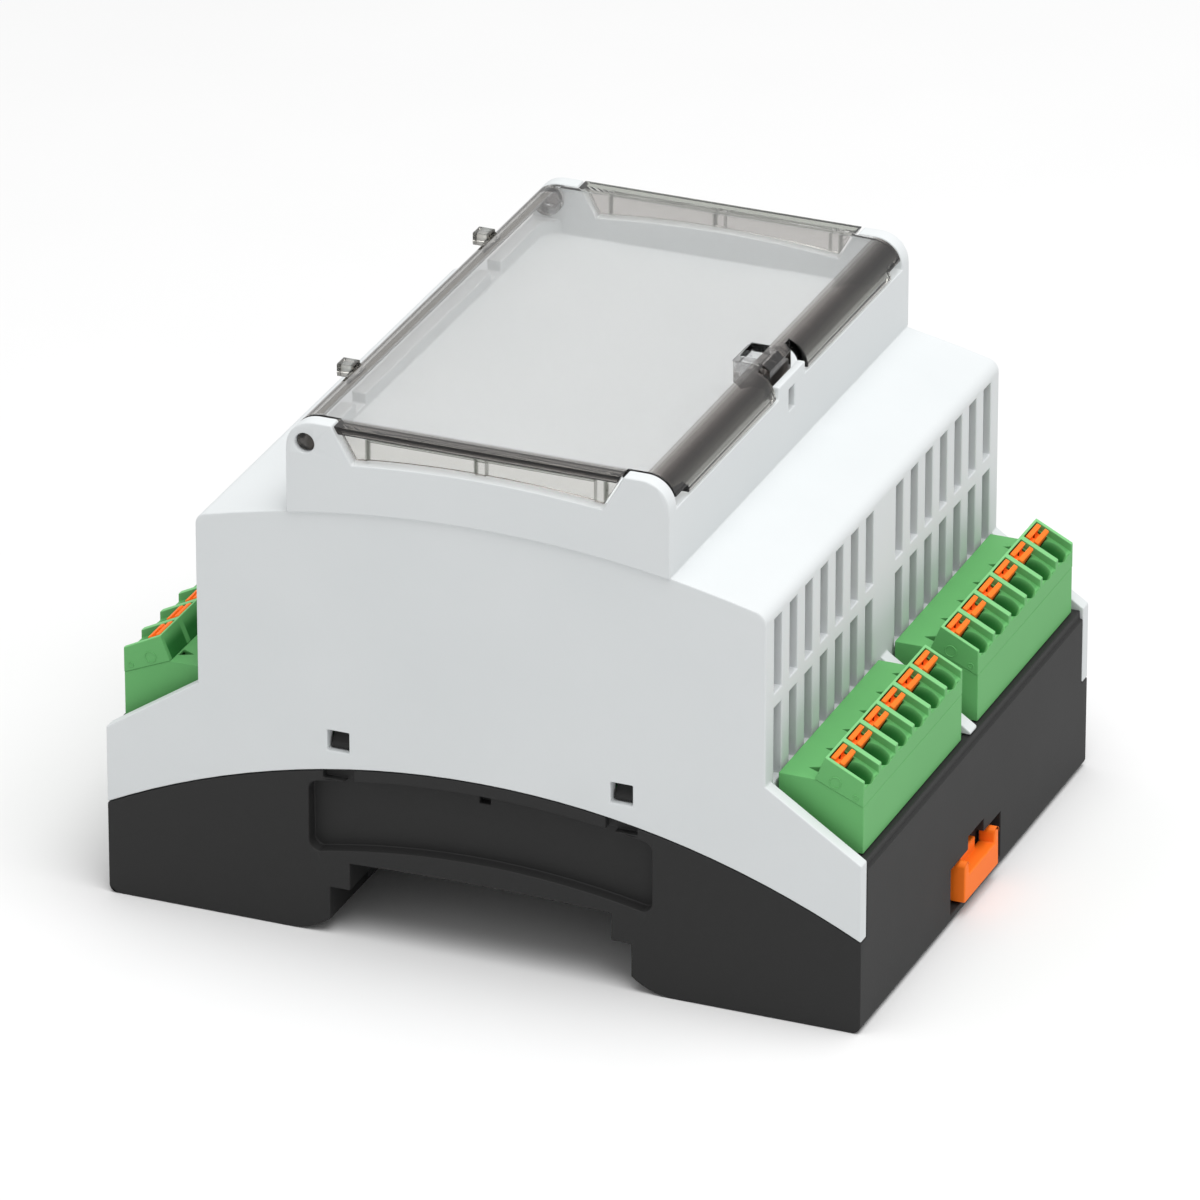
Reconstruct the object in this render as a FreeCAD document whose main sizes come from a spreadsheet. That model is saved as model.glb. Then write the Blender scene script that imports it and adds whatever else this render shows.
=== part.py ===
import FreeCAD, Part
import math
import os
import Sketcher

# DIN rail enclosure, four modules wide: a black base that clips on a 35 mm top-hat rail,
# a light grey upper moulding with vents and a display tray, a see-through hinged cover,
# a sliding foot latch and four six-pole terminal blocks on one circuit board.
# Millimetres. X runs across the rail, Y along the rail, Z away from the mounting surface.
# The origin is in the middle of the footprint, at the height of the feet.

SIZES = [
    ("width", 89.7, "across the rail"),
    ("length", 71.6, "along the rail, four modules"),
    ("height", 62.2, "from the feet to the top of the cover"),
    ("end_wall", 2.0, "end walls and ears"),
    ("side_wall", 1.6, "long walls of the base"),
    ("upper_wall", 2.0, "long walls of the upper moulding"),
    ("collar_proud", 0.3, "collar stands in front of the end walls"),
    ("seam_side", 11.1, "joint of the two mouldings at the corners"),
    ("seam_middle", 21.85, "the same joint in the middle"),
    ("seam_gap", 0.1, "gap between the two mouldings"),
    ("overlap", 0.3, "how far joined features run into each other"),
    ("past", 0.5, "how far a cut runs past the surface"),
    ("rail_width", 35.0, "top-hat rail"),
    ("rail_flange", 1.0, "thickness of the rail's flange"),
    ("rail_play", 0.45, "channel clearance on each side of the rail"),
    ("seat_height", 5.8, "surface that rests on the rail's flanges"),
    ("seat_ledge", 2.4, "width of that surface"),
    ("channel_side", 9.1, "top of the channel at its sides"),
    ("channel_middle", 9.4, "top of the channel in the middle"),
    ("deck", 1.8, "floor of the base over the channel"),
    ("leg_wall", 2.05, "inner walls of the legs"),
    ("leg_floor", 2.0, "floor of the legs"),
    ("toe_height", 1.8, "slope at the inner foot of each leg"),
    ("toe_length", 4.35, "the same slope across"),
    ("toe_middle", 2.7, "middle of its curve from its tip"),
    ("toe_middle_height", 0.75, "height of that point"),
    ("foot_round", 1.0, "outer lower corner"),
    ("base_top", 20.3, "top of the base's long walls"),
    ("wall_root", 3.0, "long walls below the joint"),
    ("shelf_gap", 0.15, "what rests over the long walls, above them"),
    ("step_depth", 0.35, "step below the top of the long walls"),
    ("step_height", 1.0, "height of that step"),
    ("panel_width", 40.8, "sunk panel in the end face"),
    ("panel_foot", 10.05, "lower edge of the panel at its corners"),
    ("panel_foot_middle", 12.0, "the same in the middle"),
    ("panel_head", 18.65, "upper edge of the panel at its corners"),
    ("panel_head_middle", 20.4, "the same in the middle"),
    ("panel_round", 1.2, "corners of the panel"),
    ("panel_depth", 1.6, "how far it is sunk"),
    ("doubler", 1.6, "extra wall behind the panel"),
    ("doubler_width", 44.6, "its width"),
    ("doubler_top", 21.0, "its top, which guides the upper moulding"),
    ("snap_place", 16.8, "snap hooks from the middle"),
    ("snap_width", 2.2, "width of a snap hook"),
    ("snap_window", 2.6, "window for the hook"),
    ("snap_window_foot", 22.65, "lower edge of the window"),
    ("snap_window_head", 25.15, "upper edge of the window"),
    ("snap_reach", 1.1, "how far a hook enters its window"),
    ("snap_face", 0.8, "straight face of a hook"),
    ("snap_gap", 0.3, "top of a hook below the head of its window"),
    ("snap_root", 1.0, "root of a hook below the top of the extra wall"),
    ("pry_width", 3.7, "recess below each window"),
    ("pry_foot", 19.2, "its lower edge"),
    ("pry_depth", 1.0, "its depth"),
    ("probe_hole", 1.3, "small square hole in the panel"),
    ("probe_foot", 18.8, "its lower edge"),
    ("rail_hook", 1.45, "fixed hooks under the rail's flange"),
    ("rail_hook_inner", 15.0, "hook nearest to the middle"),
    ("rail_hook_outer", 25.0, "hook farthest from the middle"),
    ("rail_hook_tip", 0.9, "height of a hook's tip"),
    ("rail_hook_gap", 0.3, "hooks below the rail's flange"),
    ("board_top", 14.2, "upper face of the circuit board"),
    ("board_thickness", 1.6, "circuit board"),
    ("board_gap", 0.25, "board to the walls round it"),
    ("board_play", 0.2, "upper moulding above the board"),
    ("ledge", 1.8, "ledges that carry the board"),
    ("ledge_height", 2.9, "their height"),
    ("post", 5.0, "posts under the board"),
    ("post_across", 12.0, "posts from the middle, across the rail"),
    ("post_along", 18.0, "posts from the middle, along the rail"),
    ("shelf", 11.25, "room for a terminal block beside the vented body"),
    ("slope_top", 20.5, "outer end of the sloping end plates"),
    ("slope_foot", 28.0, "where they meet the vented walls"),
    ("shoulder_side_drop", 13.7, "shoulder at the vented walls, below the top"),
    ("shoulder_drop", 9.3, "crown of the shoulder, below the top"),
    ("shoulder_round", 1.5, "rounded shoulder edge"),
    ("roof", 1.5, "thickness of the shoulder"),
    ("collar_width", 45.0, "collar, fits a standard cut-out"),
    ("collar_wall", 1.7, "long walls of the collar"),
    ("edge_round", 3.3, "rounded ears and cover edges"),
    ("tray_depth", 6.9, "floor of the display tray, below the top"),
    ("tray_wall", 1.8, "thickness of that floor"),
    ("tray_round", 2.0, "corners of the tray"),
    ("rim_left_drop", 5.2, "collar rim on the hinge side, below the top"),
    ("rim_right_drop", 3.6, "collar rim on the latch side, below the top"),
    ("rim_root", 1.0, "ears and tab below the lower rim"),
    ("notch_top", 34.3, "notch between the ears, at the top"),
    ("notch_foot", 29.4, "the same at its foot"),
    ("notch_drop", 4.3, "foot of the notch at its corners, below the top"),
    ("notch_crown_drop", 3.5, "foot of the notch in the middle, below the top"),
    ("vent_width", 2.3, "vent slots"),
    ("vent_margin", 0.8, "last slot to the end wall"),
    ("vent_first", 3.4, "first slot from the middle"),
    ("vent_count", 7, "slots in a row"),
    ("vent_foot", 27.4, "foot of the lower row"),
    ("vent_bar", 1.7, "bar between the two rows"),
    ("vent_drop", 1.5, "head of the upper row below the shoulder"),
    ("partition", 2.0, "plate between the terminal blocks"),
    ("partition_rise", 0.3, "plate above the slope of the end plates"),
    ("hinge_x", 20.3, "hinge axis from the middle"),
    ("hinge_drop", 2.6, "hinge axis below the top"),
    ("pin_diameter", 2.1, "hinge pins"),
    ("pin_play", 0.1, "radial play of the pins"),
    ("pin_sunk", 0.5, "pin ends behind the ears' outer face"),
    ("boss_diameter", 3.6, "boss at each pin"),
    ("cover_wall", 1.2, "cover"),
    ("cover_gap", 0.2, "cover to the ears"),
    ("notch_gap", 0.3, "cover lip to the slanted sides of the notch"),
    ("lip_height", 0.9, "front lip of the cover"),
    ("skirt_set_back", 0.7, "end skirt behind the ears' outer face"),
    ("skirt_wall", 0.8, "end skirt"),
    ("label_window", 12.65, "sunk windows in the end skirt"),
    ("label_start", 13.15, "first window from the middle"),
    ("label_pitch", 13.95, "spacing of the windows"),
    ("label_drop", 1.5, "upper edge of the windows, below the top"),
    ("label_depth", 0.2, "how far they are sunk"),
    ("label_frame", 0.4, "third window to the slanted end of the skirt"),
    ("label_last", 0.8, "height of the third window"),
    ("skirt_gap", 3.4, "gap in the long skirts at each end"),
    ("skirt_gap_head", 2.4, "head of that gap, below the top"),
    ("lug_place", 19.1, "lugs on the hinge side, from the middle"),
    ("lug_width", 2.0, "lugs"),
    ("lug_reach", 0.8, "how far the lugs stand out"),
    ("lug_height", 1.5, "height of the lugs"),
    ("lug_drop", 1.8, "underside of the lugs, below the top"),
    ("lug_play", 0.4, "clearance round the lugs"),
    ("grip_near", 16.4, "grip box, inner side"),
    ("grip_far", 19.7, "grip box, outer side"),
    ("grip_width", 4.8, "grip box along the rail"),
    ("grip_drop", 3.9, "underside of the grip box, below the top"),
    ("grip_wall", 0.6, "walls of the grip box"),
    ("clasp_gap", 9.4, "break in the cover's latch edge"),
    ("clasp_inner", 20.25, "where the break starts"),
    ("clasp_arm", 6.4, "width of the snap arm"),
    ("clasp_arm_wall", 1.0, "thickness of the snap arm"),
    ("clasp_arm_drop", 5.6, "lower end of the snap arm, below the top"),
    ("clasp_play", 0.5, "snap arm to the tab"),
    ("clasp_slant", 0.7, "slanted shoulder of the snap arm"),
    ("barb", 0.2, "barb of the snap arm"),
    ("barb_rise", 0.9, "height of the barb's slope"),
    ("relief_gap", 0.2, "recess behind the tab, to the break in the cover"),
    ("tab_width", 7.8, "tab on the collar"),
    ("tab_wall", 0.9, "thickness of the tab"),
    ("tab_drop", 2.1, "top of the tab, below the top"),
    ("tab_window", 1.8, "window in the tab"),
    ("tab_window_drop", 6.3, "its lower edge, below the top"),
    ("tab_window_rise", 2.7, "its height"),
    ("latch_width", 8.0, "tongue of the foot latch"),
    ("latch_foot", 2.15, "its underside"),
    ("latch_top", 4.2, "its upper face"),
    ("latch_play", 0.15, "clearance of the tongue"),
    ("latch_bite", 1.1, "nose under the rail's flange"),
    ("latch_travel", 2.5, "slide to free the rail"),
    ("nose_length", 2.2, "nose along the tongue"),
    ("ramp_length", 1.9, "ramp under the nose"),
    ("ramp_lip", 0.4, "straight face above the ramp"),
    ("latch_proud", 0.75, "handle in front of the wall"),
    ("handle_wall", 2.0, "handle"),
    ("handle_width", 10.6, "handle along the rail"),
    ("handle_prong", 1.3, "prongs of the handle"),
    ("handle_foot", 1.8, "lower edge of the handle"),
    ("handle_bar", 4.9, "top of its bar"),
    ("handle_top", 6.7, "top of its prongs"),
    ("handle_rib", 1.0, "rib behind the handle"),
    ("bay_width", 15.5, "sunk bay round the handle"),
    ("bay_foot", 1.4, "its lower edge"),
    ("bay_head", 7.0, "its upper edge"),
    ("bay_depth", 1.5, "its depth"),
    ("bay_wall", 1.6, "extra wall behind the bay"),
    ("port_width", 4.8, "dark opening above the bar"),
    ("port_head", 8.6, "its upper edge"),
    ("port_cover", 1.0, "extra wall above the port"),
    ("stop_place", 10.0, "stop pin of the latch, from the inner wall of its leg"),
    ("stop_diameter", 2.4, "stop pin"),
    ("stop_play", 0.3, "stop pin in its slot"),
    ("keeper_place", 8.0, "keepers over the tongue, from the same wall"),
    ("keeper_length", 3.0, "their length"),
    ("keeper_bite", 0.9, "keepers over the tongue's edge"),
    ("keeper_wall", 0.9, "thickness of the keepers"),
    ("guide_wall", 1.2, "rails beside the tongue"),
    ("guide_gap", 1.0, "rails to the walls at their ends"),
    ("pole_count", 6, "poles of a block"),
    ("block_gap_middle", 1.4, "block to the partition"),
    ("block_gap_end", 1.2, "block to the end wall"),
    ("block_margin", 0.2, "block ends beyond the poles, in all"),
    ("block_gap", 0.35, "block to the vented wall"),
    ("block_set_back", 1.0, "outer face of a block behind the base's long wall"),
    ("block_flat", 28.5, "flat top next to the vented wall"),
    ("cap_width", 5.65, "sloped cap, across the rail"),
    ("slope_run", 4.45, "slope from the ridge to the outer face"),
    ("cap_rise", 2.9, "ridge above the flat top"),
    ("slope_drop", 2.25, "outer edge of the cap below its ridge"),
    ("seam_drop", 2.4, "joint of cap and body at the outer face, below the flat top"),
    ("bay_rib", 0.8, "ribs between the poles"),
    ("pole_sink", 0.9, "how far each pole is sunk between its ribs"),
    ("button_start", 0.45, "button from the ridge, along the slope"),
    ("button_length", 1.7, "button along the slope"),
    ("button_height", 3.4, "button below the slope"),
    ("button_proud", 0.05, "button above the slope"),
    ("button_play", 0.15, "clearance of the button"),
    ("button_travel", 1.3, "press of the button"),
    ("button_slot", 0.55, "slot for a screwdriver"),
    ("button_slot_length", 2.1, "length of the slot"),
    ("button_slot_depth", 1.0, "depth of the slot"),
    ("funnel_place", 3.8, "wire funnel from the ridge, along the slope"),
    ("funnel_diameter", 3.5, "mouth of the funnel"),
    ("funnel_throat", 2.0, "throat of the funnel"),
    ("funnel_depth", 2.4, "depth of its cone"),
    ("chamber_wall", 1.0, "walls between the contact chambers"),
    ("chamber_floor", 1.8, "floor of the chambers above the board"),
    ("chamber_side", 1.65, "outer wall of the chambers"),
    ("pointer", 1.6, "small arrow recess at each pole"),
    ("pointer_depth", 1.2, "its depth"),
    ("pointer_gap", 0.15, "arrow to the foot of the cap"),
    ("contact_gap", 0.5, "contact to the chamber walls"),
    ("contact_wall", 0.8, "thickness of the contact"),
    ("contact_height", 8.45, "height of the contact"),
    ("contact_lift", 0.05, "contact above the chamber floor"),
    ("contact_foot", 2.0, "foot of the contact behind its pin"),
    ("pin_set_back", 3.45, "solder pins behind the block's outer face"),
    ("pin_side", 0.8, "solder pins"),
    ("pin_hole", 1.3, "holes for the solder pins"),
    ("pin_reach", 1.0, "solder pins below the board"),
]

doc = FreeCAD.newDocument("din_rail_enclosure")
sheet = doc.addObject("Spreadsheet::Sheet", "Sizes")
for row, (alias, number, note) in enumerate(SIZES, start=1):
    sheet.set(f"A{row}", note)
    sheet.set(f"B{row}", str(number))
    sheet.setAlias(f"B{row}", alias)
doc.recompute()


class Size:
    """A length with its number and the sheet expression it comes from."""

    def __init__(self, number, text):
        self.number = number
        self.text = text

    def __add__(self, other):
        other = as_size(other)
        return Size(self.number + other.number, f"({self.text} + {other.text})")

    def __sub__(self, other):
        other = as_size(other)
        return Size(self.number - other.number, f"({self.text} - {other.text})")

    def __mul__(self, other):
        other = as_size(other)
        return Size(self.number * other.number, f"({self.text} * {other.text})")

    def __truediv__(self, other):
        other = as_size(other)
        return Size(self.number / other.number, f"({self.text} / {other.text})")

    def __neg__(self):
        return Size(-self.number, f"(0 - {self.text})")

    def root(self):
        return Size(math.sqrt(self.number), f"sqrt({self.text})")

    __radd__ = __add__
    __rmul__ = __mul__


def as_size(value):
    return value if isinstance(value, Size) else Size(float(value), f"({float(value)})")


class Sheet:
    """The sizes of the sheet, as attributes."""


s = Sheet()
for alias, number, note in SIZES:
    setattr(s, alias, Size(float(number), f"Sizes.{alias}"))


def origin_part(body, role):
    return next(part for part in body.Origin.OriginFeatures if part.Role == role)


def new_body(name):
    body = doc.addObject("PartDesign::Body", name)
    body.Label = name
    return body


def arc(middle, end):
    """A step of an outline: an arc through middle to end."""
    return ("arc", middle, end)


# The middle of a quarter round lies this share of its radius inside both straight sides.
bulge = 1 - math.sqrt(0.5)


def corner(x, z, inward_x, inward_z, radius, flat_first):
    """A rounded right-angled corner as two steps of an outline."""
    middle = (x + radius * (inward_x * bulge), z + radius * (inward_z * bulge))
    on_flat = (x + radius * inward_x, z)
    on_wall = (x, z + radius * inward_z)
    start, end = (on_flat, on_wall) if flat_first else (on_wall, on_flat)
    return [start, arc(middle, end)]


def box(x0, x1, z0, z1):
    return [(x0, z0), (x1, z0), (x1, z1), (x0, z1)]


def flip(path):
    """The same outline on the other side of the sketch's upright axis."""
    def turn(point):
        return (-as_size(point[0]), point[1])
    return [("arc", turn(step[1]), turn(step[2])) if step[0] == "arc" else turn(step) for step in path]


def fix_point(sketch, geometry, which, point):
    """Pins a sketch point to its two coordinates, each with its expression."""
    for kind, value in (("DistanceX", as_size(point[0])), ("DistanceY", as_size(point[1]))):
        index = sketch.addConstraint(Sketcher.Constraint(kind, -1, 1, geometry, which, value.number))
        sketch.setExpression(f"Constraints[{index}]", value.text)


def vector(point):
    return FreeCAD.Vector(as_size(point[0]).number, as_size(point[1]).number, 0)


def add_outline(sketch, path):
    """Draws a closed outline; every corner is pinned, every arc passes through its middle point."""
    if path[-1][0] == "arc" and path[0][0] != "arc" and vector(path[0]).isEqual(vector(path[-1][2]), 1e-6):
        path = path[1:]
    ends = [step[2] if step[0] == "arc" else step for step in path]
    pieces = []
    for place, step in enumerate(path):
        start = ends[place - 1]
        if step[0] == "arc":
            curve = Part.Arc(vector(start), vector(step[1]), vector(step[2]))
            index = sketch.addGeometry(curve, False)
            first = sketch.getPoint(index, 1)
            forward = first.distanceToPoint(vector(start)) < first.distanceToPoint(vector(step[2]))
            pieces.append((index, 1 if forward else 2, 2 if forward else 1, step[1]))
        else:
            index = sketch.addGeometry(Part.LineSegment(vector(start), vector(step)), False)
            pieces.append((index, 1, 2, None))
    for place, (index, start_side, end_side, middle) in enumerate(pieces):
        following = pieces[(place + 1) % len(pieces)]
        sketch.addConstraint(Sketcher.Constraint("Coincident", index, end_side, following[0], following[1]))
    for (index, start_side, end_side, middle), end in zip(pieces, ends):
        fix_point(sketch, index, end_side, end)
        if middle is not None:
            mark = sketch.addGeometry(Part.Point(vector(middle)), True)
            fix_point(sketch, mark, 1, middle)
            sketch.addConstraint(Sketcher.Constraint("PointOnObject", mark, 1, index))


def add_circle(sketch, centre, diameter):
    radius = diameter / 2
    index = sketch.addGeometry(Part.Circle(vector(centre), FreeCAD.Vector(0, 0, 1), radius.number), False)
    fix_point(sketch, index, 3, centre)
    rule = sketch.addConstraint(Sketcher.Constraint("Radius", index, radius.number))
    sketch.setExpression(f"Constraints[{rule}]", radius.text)


def new_sketch(body, name, role, shift=0.0):
    """A sketch on an origin plane of its body, moved along the plane's normal by shift."""
    shift = as_size(shift)
    sketch = body.newObject("Sketcher::SketchObject", name)
    sketch.AttachmentSupport = [(origin_part(body, role), "")]
    sketch.MapMode = "FlatFace"
    sketch.AttachmentOffset = FreeCAD.Placement(FreeCAD.Vector(0, 0, shift.number), FreeCAD.Rotation())
    sketch.setExpression("AttachmentOffset.Base.z", shift.text)
    return sketch


def extrude(kind, body, name, role, paths, length, shift=0.0, both=False, back=False):
    """A pad or pocket of closed outlines; a circle is given as (centre, diameter)."""
    sketch = new_sketch(body, name + "_sketch", role, shift)
    for path in paths:
        if isinstance(path, tuple):
            add_circle(sketch, path[0], as_size(path[1]))
        else:
            add_outline(sketch, path)
    feature = body.newObject(kind, name)
    feature.Profile = sketch
    feature.Length = as_size(length).number
    feature.setExpression("Length", as_size(length).text)
    if both:
        feature.SideType = "Symmetric"
    feature.Reversed = back
    sketch.Visibility = False
    body.Tip = feature
    return feature


def pad(body, name, role, paths, length, **options):
    return extrude("PartDesign::Pad", body, name, role, paths, length, **options)


def pocket(body, name, role, paths, length, **options):
    return extrude("PartDesign::Pocket", body, name, role, paths, length, **options)


def mirror(body, name, features, role):
    copy = body.newObject("PartDesign::Mirrored", name)
    copy.Originals = features
    copy.MirrorPlane = (origin_part(body, role), [""])
    body.Tip = copy
    return copy


def repeat(body, name, features, role, pitch, count):
    row = body.newObject("PartDesign::LinearPattern", name)
    row.Originals = features
    row.Direction = (origin_part(body, role), [""])
    reach = pitch * (count - 1)
    row.Length = reach.number
    row.setExpression("Length", reach.text)
    row.Occurrences = int(count.number)
    row.setExpression("Occurrences", count.text)
    body.Tip = row
    return row


def round_edges(body, name, radius, chosen):
    """Rounds the edges of the body's shape for which chosen(edge) holds."""
    doc.recompute()
    base = body.Tip
    names = [f"Edge{i}" for i, edge in enumerate(base.Shape.Edges, start=1) if chosen(edge)]
    fillet = body.newObject("PartDesign::Fillet", name)
    fillet.Base = (base, names)
    fillet.Radius = radius.number
    fillet.setExpression("Radius", radius.text)
    body.Tip = fillet
    return fillet


def place_body(body, y, turned=False):
    """Moves a finished body along the rail, and turns it to the other side of the rail."""
    y = as_size(y)
    turn = FreeCAD.Rotation(FreeCAD.Vector(0, 0, 1), 180 if turned else 0)
    body.Placement = FreeCAD.Placement(FreeCAD.Vector(0, y.number, 0), turn)
    body.setExpression("Placement.Base.y", y.text)


# Places that several pieces share.
half_width = s.width / 2
half_length = s.length / 2
end_face = half_length - s.collar_proud
inner_end = half_length - s.end_wall
base_inside = half_width - s.side_wall
channel_half = s.rail_width / 2 + s.rail_play
leg_inside = channel_half + s.leg_wall
body_half = half_width - s.shelf
collar_half = s.collar_width / 2
notch_top_half = s.notch_top / 2
notch_foot_half = s.notch_foot / 2
upper_foot = s.board_top + s.board_play
flange_under = s.seat_height - s.rail_flange
tray_half = collar_half - s.collar_wall
board_under = s.board_top - s.board_thickness

# Heights of the cover, the collar and the shoulder, all counted from the top.
hinge_z = s.height - s.hinge_drop
tray_floor = s.height - s.tray_depth
tray_under = tray_floor - s.tray_wall
rim_left = s.height - s.rim_left_drop
rim_right = s.height - s.rim_right_drop
notch_foot_z = s.height - s.notch_drop
notch_crown_z = s.height - s.notch_crown_drop
shoulder_middle = s.height - s.shoulder_drop
shoulder_side = s.height - s.shoulder_side_drop
cover_half = inner_end - s.cover_gap

# Vent rows share the wall between the terminal blocks' top and the shoulder.
vent_head = shoulder_side - s.vent_drop
vent_row = (vent_head - s.vent_foot - s.vent_bar) / 2
vent_pitch = (inner_end - s.vent_margin - s.vent_width - s.vent_first) / (s.vent_count - 1)

# A terminal block fills the room from the partition to the end wall with its poles.
block_room = inner_end - s.partition / 2 - s.block_gap_middle - s.block_gap_end
pole_pitch = (block_room - s.block_margin) / s.pole_count
block_place = s.partition / 2 + s.block_gap_middle + block_room / 2
button_width = pole_pitch - s.bay_rib - s.button_play * 4
block_out = half_width - s.block_set_back
cap_foot = block_out - s.cap_width
cap_ridge = block_out - s.slope_run
cap_ridge_z = s.block_flat + s.cap_rise
cap_out_z = cap_ridge_z - s.slope_drop
cap_seam_z = s.block_flat - s.seam_drop
chamber_foot = s.board_top + s.chamber_floor
chamber_out = block_out - s.chamber_side
pin_place = block_out - s.pin_set_back


def crown(side_x, side_z, middle_z, x):
    """Height at x of the arc that is side_z high at side_x and middle_z high in the middle."""
    rise = middle_z - side_z
    radius = (side_x * side_x + rise * rise) / (2 * rise)
    return middle_z - radius + (radius * radius - x * x).root()


def seam(x):
    return crown(half_width, s.seam_side, s.seam_middle, x)


def shoulder(x):
    return crown(body_half, shoulder_side, shoulder_middle, x)


# A point of the terminal cap's slope: along the slope from the ridge, and square below it.
slope_length = (s.slope_run * s.slope_run + s.slope_drop * s.slope_drop).root()
slope_x = s.slope_run / slope_length
slope_z = s.slope_drop / slope_length


def on_slope(along, below):
    x = cap_ridge + slope_x * along - slope_z * below
    z = cap_ridge_z - slope_z * along - slope_x * below
    return (x, z)


def make_housing_base():
    """Black lower moulding: curved end walls, legs, rail channel, board ledges and snap hooks."""
    body = new_body("housing_base")
    toe = channel_half + s.toe_length
    inner_leg = channel_half - s.seat_ledge
    section = [
        arc((-toe + s.toe_middle, s.toe_middle_height), (-channel_half, s.toe_height)),
        (-channel_half, s.seat_height),
        (-inner_leg, s.seat_height),
        (-inner_leg, s.channel_side),
        arc((0, s.channel_middle), (inner_leg, s.channel_side)),
        (inner_leg, s.seat_height),
        (channel_half, s.seat_height),
        (channel_half, s.toe_height),
        arc((toe - s.toe_middle, s.toe_middle_height), (toe, 0)),
        *corner(half_width, 0, -1, 1, s.foot_round, True),
        (half_width, s.seam_side),
        arc((0, s.seam_middle), (-half_width, s.seam_side)),
        *corner(-half_width, 0, 1, 1, s.foot_round, False),
        (-toe, 0),
    ]
    pad(body, "section", "XZ_Plane", [section], end_face * 2, both=True)
    deck_top = s.channel_middle + s.deck
    hollow = [
        (-base_inside, s.leg_floor),
        (-leg_inside, s.leg_floor),
        (-leg_inside, deck_top),
        (leg_inside, deck_top),
        (leg_inside, s.leg_floor),
        (base_inside, s.leg_floor),
        (base_inside, s.seam_middle + s.past),
        (-base_inside, s.seam_middle + s.past),
    ]
    pocket(body, "hollow", "XZ_Plane", [hollow], inner_end * 2, both=True)
    wall_end = inner_end - s.seam_gap
    wall = box(base_inside, half_width, -wall_end, wall_end)
    wall_start = s.seam_side - s.wall_root
    pad(body, "long_walls", "XY_Plane", [wall, flip(wall)], s.base_top - wall_start, shift=wall_start)
    step = box(half_width - s.step_depth, half_width + s.past, s.base_top - s.step_height, s.base_top + s.past)
    pocket(body, "wall_step", "XZ_Plane", [step, flip(step)], s.length, both=True)
    doubler = box(-s.doubler_width / 2, s.doubler_width / 2, deck_top - s.overlap, s.doubler_top)
    front = pad(body, "doubler", "XZ_Plane", [doubler], s.doubler, shift=inner_end, back=True)
    mirror(body, "doubler_rear", [front], "XZ_Plane")

    panel_half = s.panel_width / 2
    turn = s.panel_round
    panel = [
        (panel_half - turn, s.panel_foot),
        arc((panel_half - turn * bulge, s.panel_foot + turn * bulge), (panel_half, s.panel_foot + turn)),
        (panel_half, s.panel_head - turn),
        arc((panel_half - turn * bulge, s.panel_head - turn * bulge), (panel_half - turn, s.panel_head)),
        arc((0, s.panel_head_middle), (turn - panel_half, s.panel_head)),
        arc((turn * bulge - panel_half, s.panel_head - turn * bulge), (-panel_half, s.panel_head - turn)),
        (-panel_half, s.panel_foot + turn),
        arc((turn * bulge - panel_half, s.panel_foot + turn * bulge), (turn - panel_half, s.panel_foot)),
        arc((0, s.panel_foot_middle), (panel_half - turn, s.panel_foot)),
    ]
    pry = box(s.snap_place - s.pry_width / 2, s.snap_place + s.pry_width / 2, s.pry_foot, s.seam_middle)
    probe = box(-s.probe_hole / 2, s.probe_hole / 2, s.probe_foot, s.probe_foot + s.probe_hole)
    cuts = [
        pocket(body, "panel", "XZ_Plane", [panel], s.panel_depth, shift=end_face),
        pocket(body, "pry_recess", "XZ_Plane", [pry, flip(pry)], s.pry_depth, shift=end_face),
        pocket(body, "probe_recess", "XZ_Plane", [probe], s.panel_depth + s.pry_depth, shift=end_face),
    ]
    mirror(body, "end_details_rear", cuts, "XZ_Plane")

    root_out = inner_end - s.seam_gap
    root_in = inner_end - s.doubler + s.overlap
    tip = root_out + s.snap_reach
    arm = [
        (root_in, s.doubler_top - s.snap_root),
        (root_out, s.doubler_top - s.snap_root),
        (root_out, s.snap_window_foot + s.seam_gap),
        (tip, s.snap_window_foot + s.seam_gap),
        (tip, s.snap_window_foot + s.snap_face),
        (root_out, s.snap_window_head - s.snap_gap),
        (root_in, s.snap_window_head),
    ]
    for name, middle in (("snap_right", s.snap_place), ("snap_left", -s.snap_place)):
        pad(body, name, "YZ_Plane", [arm, flip(arm)], s.snap_width, shift=middle - s.snap_width / 2)

    hook = [
        (-channel_half - s.past, s.toe_height),
        (-channel_half, s.toe_height),
        (-channel_half + s.rail_hook, flange_under - s.rail_hook_gap - s.rail_hook_tip),
        (-channel_half + s.rail_hook, flange_under - s.rail_hook_gap),
        (-channel_half - s.past, flange_under - s.rail_hook_gap),
    ]
    hook_length = s.rail_hook_outer - s.rail_hook_inner
    front = pad(body, "rail_hook", "XZ_Plane", [hook], hook_length, shift=s.rail_hook_outer, back=True)
    mirror(body, "rail_hook_rear", [front], "XZ_Plane")

    ledge = box(base_inside - s.ledge, base_inside + s.overlap, -inner_end, inner_end)
    ledge_foot = board_under - s.ledge_height
    pad(body, "board_ledges", "XY_Plane", [ledge, flip(ledge)], board_under - ledge_foot, shift=ledge_foot)
    posts = [
        box(x - s.post / 2, x + s.post / 2, y - s.post / 2, y + s.post / 2)
        for x in (-s.post_across, s.post_across)
        for y in (-s.post_along, s.post_along)
    ]
    pad(body, "board_posts", "XY_Plane", posts, board_under - deck_top + s.overlap, shift=deck_top - s.overlap)

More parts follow.
